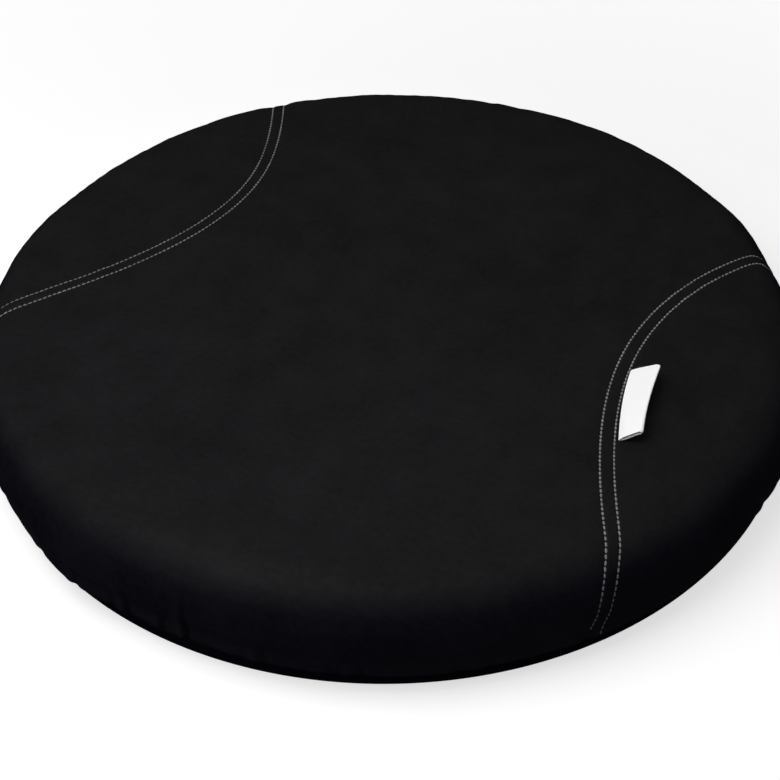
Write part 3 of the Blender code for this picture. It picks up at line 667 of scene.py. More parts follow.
def seam_cut(side):
    """The seam's middle line on the flat cut, from the front foot to the back, and the length up to
    each point."""
    y = np.linspace(-CUSHION_RADIUS, CUSHION_RADIUS, 16001)
    plan = np.column_stack([seam_x(side, y), y])
    line = flattened(plan[from_axis(plan) < RIM_RADIUS])
    down = np.arange(SECTION_AT[RIM_INDEX], CUT_RADIUS, SEAM_FINENESS)
    ends = []
    for end in (line[0], line[-1]):
        outwards = end / np.linalg.norm(end)
        ends.append(outwards * np.r_[down[down > np.linalg.norm(end)], CUT_RADIUS][:, None])
    whole = np.vstack([ends[0][::-1], line, ends[1]])
    far = np.linalg.norm(whole, axis=1)
    beyond = np.maximum(far - np.interp(-SEAM_WALL_START, -SECTION[:, 1], SECTION_AT), 0)
    turn = side * np.sign(whole[:, 1]) * (SEAM_WALL_LEAN + SEAM_WALL_CURVE * beyond) * beyond / RIM_RADIUS
    whole = at_direction(far, direction(whole) + turn)
    length = length_along(lay_on(whole)[0])
    even = np.r_[np.arange(0, length[-1], SEAM_FINENESS), length[-1]]
    return points_at(even, length, whole), even


def beside_seam(side, at, offset):
    """Points of the cut that lie a distance from a seam, measured on the cushion; outwards is positive."""
    line, length = SEAMS[side]
    here = points_at(at, length, line)
    place, normal, downhill = lay_on(here)
    across = np.cross(unit(np.gradient(place, axis=0)), normal)
    if across[len(across) // 2, 0] * side < 0:
        across = -across
    level = np.cross(normal, downhill)
    outwards = unit(here)
    sideways = np.column_stack([-outwards[:, 1], outwards[:, 0]])
    stretch = np.linalg.norm(here, axis=1) / np.maximum(from_axis(place), 1e-9)
    fall = (across * downhill).sum(1) * offset
    swing = (across * level).sum(1) * offset * stretch
    moved = here + outwards * fall[:, None] + sideways * swing[:, None]
    far = np.linalg.norm(moved, axis=1)
    return moved * (np.minimum(far, CUT_RADIUS) / far)[:, None]


def tree_of(points):
    """Search tree of the points; points of the flat cut have the height 0."""
    tree = kdtree.KDTree(len(points))
    for i, point in enumerate(points):
        tree.insert(point if len(point) == 3 else (*point, 0), i)
    tree.balance()
    return tree


def panel_of(cut):
    """Panel that each point of the cut lies in: -1 left, 0 centre, 1 right."""
    panel = np.zeros(len(cut), int)
    for side in SIDES:
        line = SEAMS[side][0]
        tree = tree_of(line)
        along = np.gradient(line, axis=0)
        near = np.array([tree.find((x, y, 0))[1] for x, y in cut])
        gap = cut - line[near]
        beyond = along[near, 1] * gap[:, 0] - along[near, 0] * gap[:, 1]
        panel[beyond * side > 0] = side
    return panel


def by_crease(cut):
    """Whether each point of the cut lies in a strip round one of the seen creases."""
    gap = np.min([abs(turn_from(direction(cut), math.radians(crease[0]))) for crease in SEEN_CREASES], axis=0)
    return (gap * CUSHION_RADIUS < CREASE_ZONE) & (from_axis(cut) > CUT_RADIUS - CREASE_ZONE_HEIGHT)


def even_grid(spacing):
    """Points of a triangular grid over the whole cut."""
    reach = int(CUT_RADIUS / spacing) + 2
    rows = int(reach * 1.2)
    i, j = np.meshgrid(np.arange(-reach, reach + 1), np.arange(-rows, rows + 1))
    across, along = (i + 0.5 * (j % 2)) * spacing, j * spacing * math.sqrt(3) / 2
    return np.column_stack([across.ravel(), along.ravel()])


def cut_mesh(spacing, seam_rows, foot_rows, seam_step, fine=None):
    """Points and triangles of the flat cut, with edges along both seams and rows of points round the foot."""
    points, edges, seam_points = [], [], []
    for side in SIDES:
        length = SEAMS[side][1][-1]
        inner = np.linspace(foot_rows[-1], length - foot_rows[-1],
                            int((length - 2 * foot_rows[-1]) / seam_step) + 1)
        at = np.r_[foot_rows[:-1], inner, (length - foot_rows[:-1])[::-1]]
        for offset in seam_rows:
            row = beside_seam(side, at, offset)
            if offset == 0:
                first = sum(len(p) for p in points)
                edges += [(first + i, first + i + 1) for i in range(len(row) - 1)]
                seam_points.append(beside_seam(side, np.arange(0, length, seam_step / 2), 0.0))
            points.append(row)
    near_seam = tree_of(np.vstack(seam_points))
    room = seam_rows[-1] + 0.6 * spacing

    def clear(cut):
        return cut[[near_seam.find((x, y, 0))[2] > room for x, y in cut]]

    for row in foot_rows:
        far = CUT_RADIUS - row
        count = int(math.tau * far / (fine or spacing))
        points.append(clear(at_direction(far, np.arange(count) / count * math.tau)))
    grid = even_grid(spacing)
    if fine:
        close = even_grid(fine)
        grid = np.vstack([grid[~by_crease(grid)], close[by_crease(close)]])
    points.append(clear(grid[from_axis(grid) < CUT_RADIUS - foot_rows[-1] - 0.6 * spacing]))
    given = [Vector(p) for p in np.vstack(points)]
    corners, _, faces, _, _, _ = delaunay_2d_cdt(given, edges, [], 0, 1e-7, False)
    return np.array([tuple(c) for c in corners]), np.array(faces)


def add_object(name, data):
    obj = bpy.data.objects.new(name, data)
    bpy.context.scene.collection.objects.link(obj)
    return obj


def make_object(name, points, faces, material=None):
    mesh = bpy.data.meshes.new(name)
    mesh.from_pydata([tuple(p) for p in points], [], [tuple(int(i) for i in f) for f in faces])
    if material:
        mesh.materials.append(material)
    mesh.shade_smooth()
    return add_object(name, mesh)


def add_cut_map(obj, cut):
    """UV map that keeps each point's place on the cloth as it was cut, in metres."""
    layer = obj.data.uv_layers.new(name="cut")
    corners = np.zeros(len(obj.data.loops), np.int32)
    obj.data.loops.foreach_get("vertex_index", corners)
    layer.data.foreach_set("uv", np.asarray(cut, np.float32)[corners].ravel())


def thicken(obj, thickness, offset):
    """Give a sheet its wall: offset -1 puts it under the surface, 0 to both sides."""
    wall = obj.modifiers.new("Wall", 'SOLIDIFY')
    wall.thickness = thickness
    wall.offset = offset
    return settle(obj)


def settle(obj):
    """Turn the evaluated shape into the object's own plain mesh."""
    mesh = bpy.data.meshes.new_from_object(obj.evaluated_get(bpy.context.evaluated_depsgraph_get()))
    obj.modifiers.clear()
    obj.data = mesh
    return obj


def carried(points, source, values):
    """Values of scattered source points, carried to other points near them."""
    tree = tree_of(source)
    out = np.zeros(len(points))
    for i, point in enumerate(points):
        found = tree.find_n(point, 4)
        weight = np.array([1 / (f[2] + 0.3 * MM) ** 2 for f in found])
        out[i] = (weight * values[[f[1] for f in found]]).sum() / weight.sum()
    return out


def foam_push():
    """How the foam pushes the sewn cover out, by cloth simulation: places on the cover, outward movement."""
    cut, faces = cut_mesh(SIM_SPACING, [0.0, 6 * MM], np.array([0.0, 5 * MM]), SIM_SPACING)
    place, normal, _ = lay_on(cut)
    trial = make_object("cover_trial", place, faces)
    held = trial.vertex_groups.new(name="held")
    seams = tree_of(np.vstack([lay_on(SEAMS[side][0])[0] for side in SIDES]))
    far = from_axis(cut)
    for i, point in enumerate(place):
        at_foot = far[i] > CUT_RADIUS - 3 * MM
        at_seam = seams.find(point)[2] < 1.5 * MM
        held.add([i], 1.0 if at_foot else SIM_HELD_SEAM if at_seam else 0.0, 'REPLACE')
    cloth = trial.modifiers.new("Cloth", 'CLOTH')
    for name, value in SIM_RULES.items():
        setattr(cloth.settings, name, value)
    cloth.settings.effector_weights.gravity = 0
    scene = bpy.context.scene
    for number in range(1, SIM_FRAMES + 1):
        scene.frame_set(number)
    settle(trial)
    scene.frame_set(1)
    pushed = np.zeros(len(place) * 3)
    trial.data.vertices.foreach_get("co", pushed)
    moved = ((pushed.reshape(-1, 3) - place) * normal).sum(1)
    bpy.data.objects.remove(trial)
    # The section already holds each ring's mean place, so only the unevenness within a ring is kept
    ring = np.round(far / SIM_SPACING).astype(int)
    moved -= (np.bincount(ring, moved) / np.maximum(np.bincount(ring), 1))[ring]
    cap = SWELL_WALL + (SWELL_TOP - SWELL_WALL) * clipped((place[:, 2] - 40 * MM) / (9 * MM))
    return place, cap * np.tanh(moved / (1.5 * cap))


def fullness(angle, height):
    """Extra outward fullness of the side by direction and height."""
    shoulder = clipped((height - 24 * MM) / (16 * MM))
    out = 0
    for centre, spread, upper, lower in FULLNESS:
        gap = np.degrees(turn_from(angle, math.radians(centre))) / spread
        out = out + bell(gap) * (upper * MM * shoulder + lower * MM * (1 - shoulder))
    near = bell(turn_from(angle, WAIST_ANGLE) / WAIST_SPREAD)
    return out + WAIST_FILL * (1 - 0.55 * near) * bell((height - SIDE_WAIST_HEIGHT) / WAIST_FILL_HEIGHT)


def foot_lift(angle):
    """How far the drawn-in cloth lifts its foot in each direction."""
    return FOOT_LIFT + FOOT_LIFT_NEAR * bell(turn_from(angle, FOOT_LIFT_ANGLE) / FOOT_LIFT_SPREAD)


def gathers():
    """The seen creases, and smaller ones all round where the elastic draws the cover in."""
    chance = np.random.default_rng(GATHER_SEED)
    seen = [(math.radians(a), w * MM, d * MM, h * MM) for a, w, d, h in SEEN_CREASES]
    small = []
    for i in range(GATHER_COUNT):
        angle = (i + chance.uniform(0.15, 0.85)) / GATHER_COUNT * math.tau - math.pi
        calm = GATHER_CALM_ANGLES[0] < angle < GATHER_CALM_ANGLES[1]
        depth = chance.uniform(0.05, 1.0) ** 2 * (GATHER_DEPTH_CALM if calm else GATHER_DEPTH) * MM
        if min(abs(math.remainder(angle - f[0], math.tau)) for f in seen) * CUSHION_RADIUS > 4 * MM:
            width, height = (chance.uniform(*reach) * MM for reach in (GATHER_WIDTHS, GATHER_HEIGHTS))
            small.append((angle, width, depth, height))
    return seen + small


def soft_noise(points, size, seed):
    """Smooth unevenness from about -1 to 1, with bumps of the given size."""
    shift = Vector((seed * 3.7, seed * 1.9, seed * 5.3))
    return np.array([noise.noise(Vector(p) / size + shift) for p in points])


def relief(cut, place):
    """Height of the seam bands, stitch pull and creases over the plain surface."""
    height = BROAD_SWELL * soft_noise(place, BROAD_SWELL_SIZE, 1)
    height += FINE_SWELL * soft_noise(place, FINE_SWELL_SIZE, 2)
    for side in SIDES:
        tree, length = SEAM_TREES[side]
        found = [tree.find(p) for p in place]
        gap = np.array([f[2] for f in found])
        at = length[[f[1] for f in found]]
        height += BAND_RISE * eased(clipped((BAND_HALF_WIDTH - gap) / BAND_SLOPE))
        height -= STITCH_PULL * bell((gap - STITCH_GAUGE / 2) / (0.5 * MM))
        near = gap < 40 * MM
        ripple = np.zeros(len(place))
        spots = np.column_stack([at[near], 9.0 * side + 0 * at[near], gap[near] * 0.35])
        ripple[near] = soft_noise(spots, SEAM_RIPPLE_SIZE, 3)
        height += SEAM_RIPPLE * ripple * bell((gap - 6 * MM) / (5 * MM))
        height += SEAM_PUFF * bell((gap - 8 * MM) / (4.5 * MM))
        shoulder = clipped((50 * MM - place[:, 2]) / (4 * MM)) * clipped(place[:, 1] / (60 * MM))
        height -= SEAM_DRAW[side] * shoulder * bell(gap / SEAM_DRAW_WIDTH)
    return height - folds(cut, place)


def folds(cut, place):
    """Depth of the creases below the plain surface."""
    depths = np.zeros(len(cut))
    angle = direction(cut)
    low = clipped((44 * MM - place[:, 2]) / (8 * MM))
    for centre, half, depth, tall in GATHERS:
        gap = turn_from(angle, centre) * CUSHION_RADIUS
        fade = eased(clipped(1 - (place[:, 2] - PANEL_FOOT) / tall))
        depths += depth * (bell(gap / half) - 0.55 * bell((gap + 2.2 * half) / (1.3 * half))) * fade * low
    return depths


def finished(cut):
    """Final places of points of the cut on the sewn cushion, with the plain surface's normals."""
    place, normal, _ = lay_on(cut)
    push = carried(place, *FOAM_PUSH)
    angle = direction(cut)
    low = clipped((30 * MM - place[:, 2]) / (18 * MM))
    uneven = soft_noise(np.column_stack([angle * 0.2, 0 * angle, 0 * angle]), 9 * MM, 4)
    steep = 1 - clipped(normal[:, 2]) ** 4
    moved = place + normal * (relief(cut, place) + push + fullness(angle, place[:, 2]) * steep)[:, None]
    moved[:, 2] += foot_lift(angle) * eased(low) + FOOT_UNEVENNESS * low * uneven
    return moved, normal


SEAMS = {side: seam_cut(side) for side in SIDES}
SEAM_TREES = {side: (tree_of(lay_on(SEAMS[side][0])[0]), SEAMS[side][1]) for side in SIDES}
GATHERS = gathers()
FOAM_PUSH = foam_push()


def make_cover():
    """The three panels, cut along the two seams from one finely divided surface."""
    seam_rows = [0.0, *(-COVER_SEAM_ROWS[::-1]), *COVER_SEAM_ROWS]
    cut, faces = cut_mesh(COVER_SPACING, seam_rows, COVER_FOOT_ROWS, COVER_SEAM_STEP, CREASE_SPACING)
    # Crease depth in mm, kept as the fold attribute for painted shade in the creases and painted light on their
    # ridges.
    fold = np.clip(folds(cut, lay_on(cut)[0]) / MM, -1, 1).astype(np.float32)
    place, _ = finished(cut)
    panel = panel_of(cut[faces].mean(axis=1))
    for number, name, node, grain in ((0, "cover_centre", "cover_centre_panel", 0),
                                      (-1, "cover_left", "cover_left_panel", 12),
                                      (1, "cover_right", "cover_right_panel", -12)):
        used, again = np.unique(faces[panel == number], return_inverse=True)
        obj = make_object(name, place[used], again.reshape(-1, 3), cover_cloth(name + "_cloth", grain))
        add_cut_map(obj, cut[used])
        obj.data.attributes.new("fold", 'FLOAT', 'POINT').data.foreach_set("value", fold[used])
        thicken(obj, CLOTH_WALL, -1)
        obj.data.set_sharp_from_angle(angle=COVER_SHARP_ANGLE)
        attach(obj, "seat")
        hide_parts(node)


def stitch_tree():
    """Geometry nodes that lay a row of stitches along each line of a mesh."""
    inputs = {"Geometry": "Rows", "Float": "Pitch Length Width Height Dip Slant", "Int": "Seed",
              "Material": "Thread"}
    bench, take = node_group("topstitch_rows", inputs, "Stitches")
    ball = bench.wire('GeometryNodeMeshUVSphere', {"Segments": 8, "Rings": 6, "Radius": 1.0})
    x, y, z = bench.split(bench.wire('GeometryNodeInputPosition'))
    shaped = bench.vector(z * take["Length"] * 0.5, x * take["Width"] * 0.5,
                          y * take["Height"] * 0.5 - z * z * take["Dip"])
    marked = bench.wire('GeometryNodeStoreNamedAttribute',
                        {"Geometry": ball, "Name": "thread_place", "Value": bench.vector(z, x, y)},
                        data_type='FLOAT_VECTOR', domain='POINT')
    stitch = bench.wire('GeometryNodeSetPosition', {"Geometry": marked, "Position": shaped})
    curve = bench.wire('GeometryNodeMeshToCurve', {"Mesh": take["Rows"]})
    rows = bench.wire('GeometryNodeResampleCurve', {"Curve": curve, "Length": take["Pitch"]}, mode='LENGTH')
    facing = bench.wire('GeometryNodeInputNamedAttribute', {"Name": "facing"}, data_type='FLOAT_VECTOR')
    line = bench.wire('FunctionNodeAxesToRotation', {0: bench.wire('GeometryNodeInputTangent'), 1: facing},
                      primary_axis='X', secondary_axis='Z')

    def chance(low, high, more):
        sockets = {2: low, 3: high, 8: take["Seed"] + more}
        return bench.wire('FunctionNodeRandomValue', sockets, 1, data_type='FLOAT')

    slant = bench.turn_about_z(take["Slant"] + chance(-0.07, 0.07, 1.0))
    rotation = bench.wire('FunctionNodeRotateRotation', {0: line, 1: slant}, rotation_space='LOCAL')
    size = bench.vector(chance(0.9, 1.04, 2.0), chance(0.82, 1.12, 3.0), chance(0.85, 1.15, 4.0))
    laid = bench.wire('GeometryNodeInstanceOnPoints',
                      {"Points": rows, "Instance": stitch, "Rotation": rotation, "Scale": size})
    real = bench.wire('GeometryNodeRealizeInstances', {0: laid})
    smooth = bench.wire('GeometryNodeSetShadeSmooth', {0: real})
    threaded = bench.wire('GeometryNodeSetMaterial', {"Geometry": smooth, "Material": take["Thread"]})
    bench.add('NodeGroupOutput', {0: threaded})
    return bench.tree


def run_tree(obj, tree, **values):
    """Apply a geometry node tree to an object, with its inputs by name."""
    modifier = obj.modifiers.new(tree.name, 'NODES')
    modifier.node_group = tree
    for item in tree.interface.items_tree:
        if item.item_type == 'SOCKET' and item.in_out == 'INPUT' and item.name in values:
            modifier[item.identifier] = values[item.name]
    return settle(obj)


def stitch_rows():
    """The four rows, as lines with the cushion's normal at each point, sewn by the stitch nodes."""
    lines, normals, edges = [], [], []
    for side in SIDES:
        length = SEAMS[side][1][-1]
        for beyond, start in STITCH_STARTS.items():
            at = np.arange(start, length - STITCH_END, 0.8 * MM)
            place, normal = finished(beside_seam(side, at, beyond * STITCH_GAUGE / 2))
            first = sum(len(p) for p in lines)
            edges += [(first + i, first + i + 1) for i in range(len(place) - 1)]
            lines.append(place + normal * STITCH_RISE)
            normals.append(normal)
    mesh = bpy.data.meshes.new("topstitching")
    mesh.from_pydata([tuple(p) for p in np.vstack(lines)], edges, [])
    facing = mesh.attributes.new("facing", 'FLOAT_VECTOR', 'POINT')
    facing.data.foreach_set("vector", np.vstack(normals).astype(np.float32).ravel())
    obj = add_object("topstitching", mesh)
    run_tree(obj, stitch_tree(), Pitch=STITCH_PITCH, Length=STITCH_LENGTH, Width=THREAD_WIDTH,
             Height=THREAD_HEIGHT, Dip=STITCH_DIP, Slant=STITCH_SLANT, Seed=STITCH_SEED, Thread=sewing_thread())
    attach(obj, "seat")


def turned(name, outline, steps, material, wander=None):
    """Turn a closed outline of (radius, height) points about Z, with the cut map along and round it."""
    outline = np.asarray(outline)
    on_axis = outline[0, 0] == 0 and outline[-1, 0] == 0
    ring = outline if on_axis else np.vstack([outline, outline[:1]])
    length = length_along(ring)
    mesh = bmesh.new()
    columns = []
    for j in range(steps):
        angle = math.tau * j / steps
        column = []
        for radius, height in outline:
            if wander:
                radius, height = wander(radius, height, angle)
            column.append(mesh.verts.new((radius * math.cos(angle), radius * math.sin(angle), height)))
        columns.append(column if on_axis else column + column[:1])
    uv = mesh.loops.layers.uv.new("cut")
    for j in range(steps):
        here, there = columns[j], columns[(j + 1) % steps]
        for i in range(len(ring) - 1):
            face = mesh.faces.new((here[i], here[i + 1], there[i + 1], there[i]))
            face.smooth = True
            for loop, (a, b) in zip(face.loops, ((i, j), (i + 1, j), (i + 1, j + 1), (i, j + 1))):
                loop[uv].uv = (length[a], outline[:, 0].max() * math.tau * b / steps)
    bmesh.ops.remove_doubles(mesh, verts=mesh.verts, dist=1e-6)
    bmesh.ops.recalc_face_normals(mesh, faces=mesh.faces)
    data = bpy.data.meshes.new(name)
    mesh.to_mesh(data)
    mesh.free()
    data.materials.append(material)
    data.set_sharp_from_angle(angle=TURNED_SHARP_ANGLE)
    return add_object(name, data)


def arc(centre, radius, start, end, steps):
    """Points on an arc of an outline, with angles in degrees."""
    angle = np.radians(np.linspace(start, end, steps + 1))
    return [(centre[0] + radius * math.cos(a), centre[1] + radius * math.sin(a)) for a in angle]


def make_foam():
    """The foam pad: soft shoulders, a cut lower edge and the recess over the nut."""
    inwards = unit(np.column_stack([SECTION_STEP[:, 1], -SECTION_STEP[:, 0]]))
    low = clipped((34 * MM - SECTION[:, 1]) / (14 * MM))[:, None]
    inside = SECTION + inwards * (FOAM_INSET + FOAM_INSET_LOW * low)
    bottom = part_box("foam_core")[0].z
    inside = inside[(inside[:, 1] > bottom + 0.8 * MM) & (inside[:, 0] > 1 * MM)][::14]
    foot = inside[-1, 0]
    outline = [(0, inside[0, 1]), *inside, (foot - 0.2 * MM, bottom + 0.3 * MM), (foot - 0.8 * MM, bottom)]
    outline += [(radius, bottom) for radius in (150 * MM, 100 * MM, 50 * MM, NUT_RECESS_RADIUS)]
    outline += [(NUT_RECESS_RADIUS, NUT_RECESS_TOP - 1 * MM), (NUT_RECESS_RADIUS - 1 * MM, NUT_RECESS_TOP),
                (0, NUT_RECESS_TOP)]

    def saw_marks(radius, height, angle):
        if radius > 170 * MM:
            drawn = min(float(fullness(angle, height)), 0)
            radius += FOAM_SAW_MARK * math.sin(angle * 31 + height * 900) + drawn
        return radius, height

    foam = turned("foam_pad", outline, FOAM_STEPS, open_foam(), saw_marks)
    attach(foam, "seat")
    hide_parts("foam_core")


def gather(angle, seed):
    """Unevenness of the drawn-in strip round the cushion, about -1 to 1."""
    return noise.noise(Vector((math.cos(angle) * 26, math.sin(angle) * 26, seed)))


def make_hem():
    """Strip sewn to the foot of the cover, turned in under the plate and rolled round the elastic."""
    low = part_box("hem_binding")[0].z
    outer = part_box("hem_binding")[1].x
    half = HEM_WALL / 2
    middle = low + half + HEM_CLEARANCE
    roll_middle = ELASTIC_CENTRE[0]
    fold = outer - HEM_FOLD_DEPTH
    path = [(outer - 0.55 * MM, low + 2.3 * MM), (outer - 0.5 * MM, low + 1.2 * MM)]
    path += arc((fold, middle + HEM_BEND), HEM_BEND, 0, -90, 6)
    path += [(fold - (fold - roll_middle) * k / 12, middle) for k in range(1, 12)]
    path = np.array(path + arc(ELASTIC_CENTRE, ELASTIC_CENTRE[1] - middle, -90, -340, 20))
    step = np.gradient(path, axis=0)
    side = unit(np.column_stack([-step[:, 1], step[:, 0]]))
    outline = np.vstack([path + side * half, (path - side * half)[::-1]])

    def drawn_in(radius, height, angle):
        share = clipped((radius - roll_middle - 4 * MM) / (6 * MM)) * clipped((outer - radius) / (5 * MM))
        lift = HEM_GATHER * (gather(angle, 1.0) + 0.5 * gather(angle * 2, 7.0)) * share
        lift += HEM_GATHER_EDGE * gather(angle, 1.0) * (radius > outer - 3 * MM)
        lift += foot_lift(angle) * max(height - low - 1.0 * MM, 0) / (1.3 * MM) * (radius > outer - 1.2 * MM)
        return radius, height + max(lift, HEM_LOWEST)

    hem = turned("hem_strip", outline, HEM_STEPS, hem_tape(), drawn_in)
    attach(hem, "seat")
    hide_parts("hem_binding")


def make_elastic():
    """Round elastic inside the rolled hem."""
    outline = arc(ELASTIC_CENTRE, ELASTIC_RADIUS, 0, -360, 16)[:-1]
    elastic = turned("hem_elastic_round", outline, ELASTIC_STEPS, elastic_braid())
    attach(elastic, "seat")
    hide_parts("hem_elastic")


def label_section(share, from_end, far_half):
    """One section of the label, a share of the way from its far end: places outward and up from its root."""
    gap = LABEL_LAYER_GAP / 2
    corner = LABEL_CORNER if far_half else 0.5 * LABEL_CORNER
    short = corner - math.sqrt(max(corner ** 2 - max(corner - from_end, 0) ** 2, 0))
    width = LABEL_WIDTH_FAR + (LABEL_WIDTH_NEAR - LABEL_WIDTH_FAR) * share - short
    width += LABEL_WIDTH_BULGE * math.sin(math.pi * share ** 0.7)
    lift = math.radians(LABEL_LIFT_FAR + (LABEL_LIFT_NEAR - LABEL_LIFT_FAR) * eased(share))
    sag = 0.12 + 0.12 * math.sin(share * 5)
    spread = 1.0 + 1.9 * share ** 4
    root = 0.2 * share ** 4
    upper = [(u, gap * spread * min(1, root + u / LABEL_ROOT))
             for u in np.linspace(width - gap, 0, LABEL_LAYER_POINTS)]
    lower = [(u, -w) for u, w in upper[::-1]]
    for u, w in lower + arc((width - gap, 0), gap * (0.6 + 0.4 * spread), -80, 80, 6) + upper:
        bend = lift * (1.1 - 0.1 * u / width)
        rise = w - sag * MM * math.sin(math.pi * u / width)
        yield u * math.cos(bend) - rise * math.sin(bend), u * math.sin(bend) + rise * math.cos(bend)


def make_label():
    """Bare tape folded double, caught beside the seam. Its fold stands off the cover, more at the near end."""
    line, length = SEAMS[1]
    seam = lay_on(line)[0]
    start = length[np.argmin(np.abs(seam[:, 1] - LABEL_FAR_Y) + 10 * (seam[:, 2] < 45 * MM))]
    last = LABEL_STATIONS - 1
    at = start - np.linspace(0, LABEL_LENGTH, LABEL_STATIONS)
    offset = np.linspace(LABEL_OFFSET_NEAR, LABEL_OFFSET_FAR, LABEL_STATIONS)
    foot, normal = finished(beside_seam(1, at[::-1], offset)[::-1])
    across = np.cross(normal, unit(np.gradient(foot, axis=0)))
    if across[0, 0] < 0:
        across = -across
    points = []
    for k in range(LABEL_STATIONS):
        from_end = min(k, last - k) * LABEL_LENGTH / last
        for out, up in label_section(k / last, from_end, k < LABEL_STATIONS / 2):
            points.append(foot[k] + across[k] * out + normal[k] * (up + LABEL_THICKNESS * 0.9))
    count = len(points) // LABEL_STATIONS
    faces = [(k * count + i, k * count + i + 1, (k + 1) * count + i + 1, (k + 1) * count + i)
             for k in range(last) for i in range(count - 1)]
    label = make_object("bare_label", points, faces, woven_tape())
    tape_u = np.r_[np.linspace(0, LABEL_WIDTH_FAR, count // 2),
                   np.linspace(LABEL_WIDTH_FAR, 2 * LABEL_WIDTH_FAR, count - count // 2)]
    add_cut_map(label, np.array([(tape_u[i % count], LABEL_LENGTH * (i // count) / last)
                                 for i in range(len(points))]))
    thicken(label, LABEL_THICKNESS, 0)
    outward = bmesh.new()
    outward.from_mesh(label.data)
    bmesh.ops.recalc_face_normals(outward, faces=outward.faces)
    outward.to_mesh(label.data)
    outward.free()
    label.data.set_sharp_from_angle(angle=LABEL_SHARP_ANGLE)
    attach(label, "seat")
    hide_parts("folded_label")


def rib_tree():
    """Geometry nodes that set tapered ribs round a moulded disc."""
    inputs = {"Geometry": "Disc", "Int": "Count", "Float": "Inner Outer Thickness Low High",
              "Material": "Plastic"}
    bench, take = node_group("moulded_ribs", inputs, "Ribbed")
    block = bench.wire('GeometryNodeMeshCube',
                       {"Size": (1, 1, 1), "Vertices X": 5, "Vertices Y": 3, "Vertices Z": 3})
    x, y, z = bench.split(bench.wire('GeometryNodeInputPosition'))
    shaped = bench.vector(x * (take["Outer"] - take["Inner"]), y * take["Thickness"] * (0.93 - 0.14 * z),
                          z * (take["High"] - take["Low"]))
    rib = bench.wire('GeometryNodeSetPosition', {"Geometry": block, "Position": shaped})
    angle = bench.wire('GeometryNodeInputIndex') * math.tau / take["Count"]
    middle = (take["Inner"] + take["Outer"]) * 0.5
    spot = bench.vector(middle * angle.maths('COSINE', angle), middle * angle.maths('SINE', angle),
                        (take["High"] + take["Low"]) * 0.5)
    points = bench.wire('GeometryNodePoints', {"Count": take["Count"], "Position": spot})
    laid = bench.wire('GeometryNodeInstanceOnPoints',
                      {"Points": points, "Instance": rib, "Rotation": bench.turn_about_z(angle)})
    joined = bench.wire('GeometryNodeJoinGeometry')
    for part in (laid, take["Disc"]):
        bench.tree.links.new(part.socket, joined.socket.node.inputs[0])
    real = bench.wire('GeometryNodeRealizeInstances', {0: joined})
    moulded = bench.wire('GeometryNodeSetMaterial', {"Geometry": real, "Material": take["Plastic"]})
    bench.add('NodeGroupOutput', {0: moulded})
    return bench.tree


def make_base():
    """Moulded base: soft-edged rim, ball track, boss and ribs."""
    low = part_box("base_disc")[0].z
    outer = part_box("base_disc")[1].x
    rim_top = BASE_FLOOR_TOP + BASE_RIM_RISE
    inner = outer - BASE_RIM_WIDTH
    soft = BASE_RIM_ROUND
    track_inner, track_outer = TRACK_RADIUS - TRACK_HALF_WIDTH, TRACK_RADIUS + TRACK_HALF_WIDTH
    outline = arc((outer - soft, rim_top - soft), soft, 90, 0, 6)
    outline += arc((outer - soft, low + soft), soft, 0, -90, 6)
    outline += [(inner + EDGE_BEVEL, low), (inner, low + EDGE_BEVEL), (inner, BASE_UNDERSIDE)]
    outline += [(inner * k / 4, BASE_UNDERSIDE) for k in (3, 2, 1)] + [(BOLT_HEAD_RECESS, BASE_UNDERSIDE)]
    outline += [(BOLT_HEAD_RECESS, BOLT_HEAD_LEDGE), (BOLT_HOLE, BOLT_HEAD_LEDGE), (BOLT_HOLE, BASE_BOSS_TOP)]
    outline += [(BASE_BOSS_RADIUS - 1.6 * MM, BASE_BOSS_TOP),
                (BASE_BOSS_RADIUS - 1.0 * MM, BASE_BOSS_TOP - 0.5 * MM), (BASE_BOSS_RADIUS, BASE_FLOOR_TOP)]
    lip = math.degrees(math.asin((BALL_CENTRE - LOWER_TRACK_TOP) / GROOVE_RADIUS))
    outline += [(track_inner - 1 * MM, BASE_FLOOR_TOP), (track_inner, LOWER_TRACK_TOP)]
    outline += arc((TRACK_RADIUS, BALL_CENTRE), GROOVE_RADIUS, -180 + lip, -lip, 16)
    outline += [(track_outer, LOWER_TRACK_TOP), (track_outer + 1 * MM, BASE_FLOOR_TOP)]
    outline += [(inner, BASE_FLOOR_TOP)]
    inner += BASE_RIM_DRAFT
    outline += [(inner, rim_top - EDGE_BEVEL), (inner + EDGE_BEVEL, rim_top)]
    # Black plastic, painted darker still and tinted as painted shade for the band in shadow under the cover.
    tint = (1.0, 0.95, 1.9)
    plastic = moulded_plastic("base_moulding", grey(0.0013, tint), grey(0.0036, tint), 0.5, 0.35 * MM, 0.0)
    base = turned("moulded_base", outline[::-1], BASE_STEPS, plastic)
    tree = rib_tree()
    rib_rings = ((12, BASE_BOSS_RADIUS - 1 * MM, track_inner), (24, track_outer, RIB_END_RADIUS))
    for count, start, end in rib_rings:
        run_tree(base, tree, Count=count, Inner=start, Outer=end, Thickness=RIB_THICKNESS,
                 Low=BASE_FLOOR_TOP - RIB_ROOT, High=BASE_FLOOR_TOP + RIB_HEIGHT, Plastic=plastic)
    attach(base, "base")
    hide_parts("base_disc")


